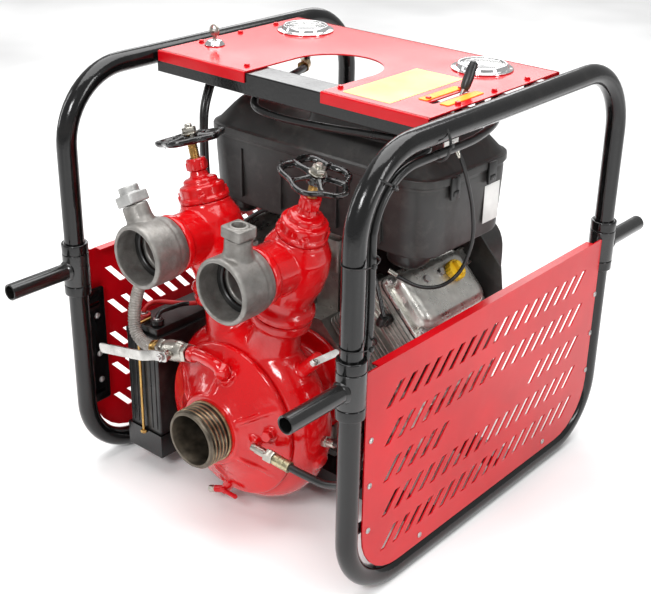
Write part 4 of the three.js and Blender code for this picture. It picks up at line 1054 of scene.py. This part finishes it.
for hand, side in (("right", 1), ("left", -1)):
    bank = pump_ray(CYLINDER_LEAN * side)
    parts = [block(-50, 50, -78, 68, 100, 206, 3)]
    for i in range(10):
        z = 112 + 8.6 * i
        parts.append(slab(rectangle(-60, 60, -90, 80, 14), z, z + 2.6, edge=0.5))
    parts.append(slab(rectangle(-60, 60, -92, 86, 10), 206, 262, edge=1.5))
    for i in range(5):
        z = 212 + 9 * i
        parts.append(slab(rectangle(-62, 62, -95, 88, 8), z, z + 3.2, edge=0.6))
    piece(f"cylinder_{hand}_fins", placed(parts, bank), "engine_aluminium",
          replaces=[f"engine_cylinder_{hand}"])
    rim = slab(rectangle(-58, 58, -94, 90, 18), 262.3, 269, edge=1.2)
    dome = loft([(rectangle(-52 + i, 52 - i, -86 + i, 82 - i, 24 - i * 0.6, 8), z)
                 for i, z in ((0, 265), (0.6, 284), (1.8, 289), (4.2, 293), (8, 296), (13, 297.6),
                              (16, 298))])
    pads = [revolve([(0, 262.4), (9, 262.4), (8.4, 276), (0, 276)], 32, 1.0) for _ in range(4)]
    corners = [(-47, -83), (47, -83), (47, 79), (-47, 79)]
    pads = [moved(pad, move(x, y, 0)) for pad, (x, y) in zip(pads, corners)]
    piece(f"rocker_cover_{hand}_casting", placed((rim, dome, *pads), bank), "bright_alloy",
          replaces=[f"rocker_cover_{hand}"], angle=32, even=True)
    heads = [bolt((x, y, 276), (0, 0, 1), 6.5, 20 * i) for i, (x, y) in enumerate(corners)]
    heads += [bolt((-22, y, 297.2), (0, 0, 1), 7, 35) for y in (-34, 6)]
    piece(f"rocker_cover_{hand}_bolts", placed(heads, bank), "zinc")
    seam = slab(rectangle(-59, 59, -93.5, 88, 16), 259.5, 262.2)
    piece(f"head_gasket_{hand}", [moved(seam, bank)], "dark_inside")
    boot = [sweep(smooth_route([(0, -94, 236), (0, -112, 238), (0, -124, 246), (-4, -126, 262)], 3), 7.5,
                  20),
            revolve([(0, 0), (10, 0), (10, 14), (8, 16), (0, 16)], 24, 1)]
    boot[1] = moved(boot[1], aimed((0, -92, 236), (0, -1, 0)))
    piece(f"spark_boot_{hand}", placed(boot, bank), "hose_rubber")
    lead = [tuple(bank @ Vector((-4, -126, 262))), (side * 150, -112, 432), (side * 120, -98, 462),
            (side * 96, -88, 474)]
    piece(f"spark_lead_{hand}", [sweep(smooth_route(lead), 3.6, 16)], "hose_rubber")

cap_at = pump_ray(CYLINDER_LEAN) @ move(-13, 31, 0)
knurl = [(17.4 + 0.7 * math.cos(18 * a)) for a in [2 * math.pi * k / 144 for k in range(144)]]
skirt = loft([([(r * f * math.cos(2 * math.pi * k / 144), r * f * math.sin(2 * math.pi * k / 144))
                for k, r in enumerate(knurl)], z)
              for f, z in ((0.97, 298.4), (1, 299.4), (1, 309), (0.95, 310.5))])
grip = slab(rounded([(-14, 309), (14, 309), (12, 319), (-12, 319)], 3, 4, closed=True), -3.4, 3.4, edge=1.2)
piece("oil_cap_moulding", placed((skirt, moved(grip, turn("X", 90))), cap_at), "cap_yellow",
      "oil_filler_cap", ["oil_filler_cap"])
neck = revolve([(12, 290), (19.5, 290), (19.5, 297.6), (12, 297.9)], 40, 0.6)
piece("oil_filler_neck", [moved(neck, cap_at)], "bright_alloy")

right_bank = pump_ray(CYLINDER_LEAN)
sensor = [revolve([(0, 262), (16, 262), (16, 292), (13, 295), (13, 290), (0, 290)], 40, 1)]
piece("breather_housing", placed(sensor, right_bank @ move(-30, 96, -8)), "bright_alloy")
side_cover = slab([(-64, 96), (60, 96), (60, 300), (20, 330), (-64, 330)], 0, 4, edge=1)
piece("blower_side_plate", [moved(side_cover, right_bank @ move(0, 106, 0) @ turn("X", 90))],
      "black_plastic")

case = [block(-118, 118, -97, 127, 58.4, 78, 3)]
for y in (-70, -30, 10, 50, 90):
    case.append(block(-127, 127, y - 3, y + 3, 82, 200, 1.5))
case.append(moved(revolve([(0, 92), (88, 92), (88, 99), (80, 103), (40, 104), (0, 104)], 64, 2), AXIS))
case.append(block(-60, 60, -100, -95, 70, 110, 2))
piece("crankcase_ribs", case, "engine_aluminium")
flange_bolts = [moved(bolt((78 * math.cos(a), 78 * math.sin(a), 102.5), (0, 0, 1), 7, 10), AXIS)
                for a in [math.radians(22.5 + 45 * k) for k in range(8)]]
piece("pump_flange_bolts", flange_bolts, "zinc")
intake = [block(-40, 40, -46, 46, 430, 469, 4, 10), block(-30, 30, -60, -40, 380, 440, 3, 8),
          moved(revolve([(0, 0), (16, 0), (16, 22), (12, 26),
                         (0, 26)], 32, 1.5), aimed((0, -60, 410), (0, -1, 0)))]
piece("carburettor_body", intake, "engine_aluminium")

fan_at = move(0, 187, PUMP_Z + 60)
shroud = [moved(slab(rectangle(-200, 200, 92, 455, 60, 8), -187, -125.4, [circle(0, PUMP_Z + 60, 105, 72)],
                     6), turn("X", 90)),
          moved(slab(rectangle(-188, 188, 104, 443, 56, 8), -180, -150, edge=1), turn("X", 90)),
          moved(revolve([(104, 0), (113, 0), (111, 4), (104, 5)], 72, 1.2), fan_at @ turn("X", -90))]
piece("fan_shroud_moulding", shroud, "black_plastic", replaces=["fan_shroud"], even=True)
guard = [moved(slab(circle(0, 0, r + 1.5, 72), -2.0, 1.0, [circle(0, 0, r - 1.5, 72)], 0.5),
               fan_at @ turn("X", 90))
         for r in (20, 37, 54, 71, 88, 103)]
guard += [moved(block(-2, 2, 18, 104, -3, 0, 0.8), fan_at @ turn("X", 90) @ turn("Z", 30 * k))
          for k in range(12)]
guard.append(moved(revolve([(0, -3), (19, -3), (19, 1), (15, 3), (0, 3)], 40, 1), fan_at @ turn("X", -90)))
piece("fan_guard", guard, "battery_plastic")
corner_bolts = [bolt((x, 187.2, z), (0, 1, 0), 6, 10)
                for x, z in ((-170, 125), (170, 125), (-170, 420), (170, 420))]
piece("fan_shroud_bolts", corner_bolts, "zinc")

can = [slab(rectangle(152, 248, -80, 115, 20, 6), 94, 220, edge=12),
       slab(rectangle(150, 250, -82, 117, 22, 6), 153, 158, edge=1.5),
       sweep(smooth_route([(200, 114, 130), (200, 134, 128), (204, 152, 118), (212, 168, 108)], 4), 15, 28),
       sweep(smooth_route([(160, -40, 200), (148, -42, 226), (140, -40, 250)], 4), 14, 24)]
for z in (120, 190):
    can.append(slab(rectangle(151, 249, -81, 116, 21, 6), z - 1.5, z + 1.5, edge=0.8))
piece("muffler_can", can, "bare_steel", replaces=["exhaust_muffler"], angle=50)

# ------------------------------------------------------------------ battery
BAT_LEFT, BAT_RIGHT, BAT_FRONT, BAT_BACK = -250, -172, -293, -112
cell = [slab(rectangle(BAT_LEFT, BAT_RIGHT, BAT_FRONT, BAT_BACK, 4), 62, 262, edge=1.2),
        slab(rectangle(BAT_LEFT - 1, BAT_RIGHT + 1, BAT_FRONT - 1, BAT_BACK + 1, 4), 262, 274, edge=1.2),
        slab(rectangle(BAT_LEFT + 6, BAT_RIGHT - 6, BAT_FRONT + 6, BAT_BACK - 6, 5), 272, 287.6, edge=2)]
for x in (-241, -229, -193, -181):
    cell.append(block(x - 1.5, x + 1.5, -294.5, -292, 92, 256, 0.7))
piece("battery_case", cell, "battery_plastic", replaces=["battery"], even=True)
piece("battery_clamp_rod", [sweep([(-211, -299, 78), (-211, -299, 282), (-211, -297.5, 290),
                                   (-211, -292, 293), (-211, -270, 293.5)], 2.6, 16),
                            moved(hexagon(10, 0, 6), move(-211, -299, 78))], "brass_bare")
posts = [moved(revolve([(0, 0), (8, 0), (7, 13), (0, 13)], 24, 1), move(x, y, 287))
         for x, y in ((-228, -270), (-194, -270))]
piece("battery_posts", posts, "zinc")
for name, look, x in (("red", "cable_red", -228), ("black", "hose_rubber", -194)):
    run = [(x, -270, 300), (x, -262, 308), (x + 4, -240, 310), (-190, -200, 304), (-150, -140, 300),
           (-122, -100, 270)]
    clamp = [sweep(smooth_route(run), 4.2, 16),
             moved(revolve([(7, 0), (12, 0), (12, 9), (7, 9)], 24, 1), move(x, -270, 289))]
    piece(f"battery_cable_{name}", clamp, look)

# ------------------------------------------------------------------ hoses, cables and ties
HOSE_R = 6.2
TOP_BEND = arc(-UPRIGHT_Y + BEND_TOP, RAIL_HIGH - BEND_TOP, BEND_TOP - 30, 180, 90, 8)
union_way = Vector((0.98, 0.08, -0.12)).normalized()
UNION_AT = Vector((90.2, -328, 189))
union = aimed(UNION_AT, union_way)
fitting = [revolve([(0, -4), (6.2, -4), (6.2, 24), (0, 24)], 32, 0.6),
           block(-5.5, 5.5, -5.5, 5.5, 4, 22, 1.5),
           hexagon(19, 24, 40, 1.5)]
piece("pressure_union", placed(fitting, union), "nickel")
crimp = revolve([(0, 40), (8, 40), (9.4, 42), (9.4, 50), (8.4, 51), (9.4, 52), (9.4, 60), (8.4, 61),
                 (9.4, 62), (9.4, 72), (0, 73)],
                32, 0.4)
piece("pressure_ferrule", [moved(crimp, union)], "nickel_yellow")
pressure = [tuple(UNION_AT + union_way * 68), (190, -320, 178), (235, -318, 180), (278, -316, 205),
            (293, -318, 260),
            (296, -320, 330), (299, -320, 400), (306, -320, 470), *[(306, y, z) for y, z in TOP_BEND],
            (304, -180, 686),
            (298, -80, 684), (272, 10, 682), (225, 80, 674), (188, 104, 672), (178, 110, 684)]
piece("pressure_hose_tube", [sweep(smooth_route(pressure), HOSE_R, 20)], "hose_rubber",
      replaces=["pressure_hose"])
vacuum = [(170, -238, 190), (195, -240, 200), (240, -262, 225), (272, -300, 265), (281, -319, 320),
          (286, -320, 400), (292, -320, 470), *[(292, y, z) for y, z in TOP_BEND], (280, -170, 686),
          (235, -150, 682), (150, -146, 674), (60, -146, 666), (-20, -150, 664), (-70, -150, 670),
          (-90, -128, 680), (-104, -90, 684), (-125, -30, 680), (-160, 60, 676), (-188, 102, 674),
          (-198, 110, 684)]
piece("vacuum_hose_tube", [sweep(smooth_route(vacuum), HOSE_R, 20)], "hose_rubber",
      replaces=["vacuum_hose"])
piece("vacuum_elbow", [sweep(smooth_route([(-172, 78, 675.5), (-183, 96, 673.5), (-193, 107, 673),
                                           (-198, 110, 679), (-198, 110, 690)], 3), 8, 24),
                       moved(hexagon(19, 0, 9), aimed((-171, 76, 675.6), (0.5, -0.86, 0.0)))], "brass_bare")
piece("vacuum_union",
      [moved(merged([hexagon(17, -14, -2), revolve([(0, -18), (7, -18), (7, 14), (0, 14)], 24, 0.6)]),
                             aimed((168, -238, 189.6), (1, -0.05, 0.2)))], "nickel")
throttle = [(240, -44, 652), (250, -38, 630), (256, -28, 596), (257, -10, 545), (257, -4, 490),
            (247, -16, 440), (232, -42, 418), (212, -72, 419), (192, -98, 436), (176, -108, 448)]
piece("throttle_cable_sleeve", [sweep(smooth_route(throttle, 4), 3.1, 16)], "hose_rubber",
      replaces=["throttle_cable"])
piece("throttle_cable_ends", [moved(revolve([(0, -2), (4.2, -2), (4.2, 16), (3.4, 20),
                                             (0, 20)], 24, 0.5), aimed(throttle[0], (0.35, 0.2, -0.9))),
                              moved(revolve([(0, -2), (4.2, -2), (4.2, 14), (0, 14)], 24, 0.5),
                                    aimed(throttle[-1], (0.75, 0.45, -0.5)))], "nickel")
loom = [(-235, -78, 696), (-236, -84, 680), (-230, -104, 655), (-224, -120, 620), (-220, -124, 560),
        (-214, -126, 480), (-208, -132, 400), (-206, -142, 340), (-206, -150, 290)]
strands = []
for dx, dy, r in ((0, 0, 6.0), (7, 3, 3.4), (-6, 5, 3.0)):
    strands.append(sweep(smooth_route([(x + dx, y + dy * (0.4 + 0.6 * math.sin(i)), z)
                                       for i, (x, y, z) in enumerate(loom)], 5), r, 16))
piece("wiring_loom_sleeve", strands, "hose_rubber", replaces=["wiring_loom"])


def tie(middle, direction, half_a, half_b, roll=0):
    """A cable tie drawn round a bundle, with its square head."""
    band = [(half_a * math.cos(a), half_b * math.sin(a), 0)
            for a in [2 * math.pi * k / 40 for k in range(41)]]
    strap = sweep(band, 2.0, 8, flat=0.45, ends=False)
    head = block(half_a - 1, half_a + 4.5, -3, 3, -3, 3, 0.8)
    return moved(merged([strap, head]), aimed(middle, direction, roll))


ties = [tie((301, -338, z), (0, 0, 1), 22, 30, 0) for z in (452, 575)]
ties += [tie((301, -300, 676), (0, 0.55, 0.83), 22, 28), tie((300, -175, 702), (0, 1, 0), 22, 28),
         tie((-220, -122, 590), (0, 0.05, 1), 13, 10), tie((-209, -130, 420), (0, 0.05, 1), 13, 10)]
piece("cable_ties", ties, "tie_nylon")


bpy.ops.mesh.primitive_plane_add(size=1)
floor = bpy.context.object
floor.name = "floor"
floor.scale = (14, 14, 1)
floor.location = (0, 0, -0.0005)
floor.data.materials.append(MATS["floor"])
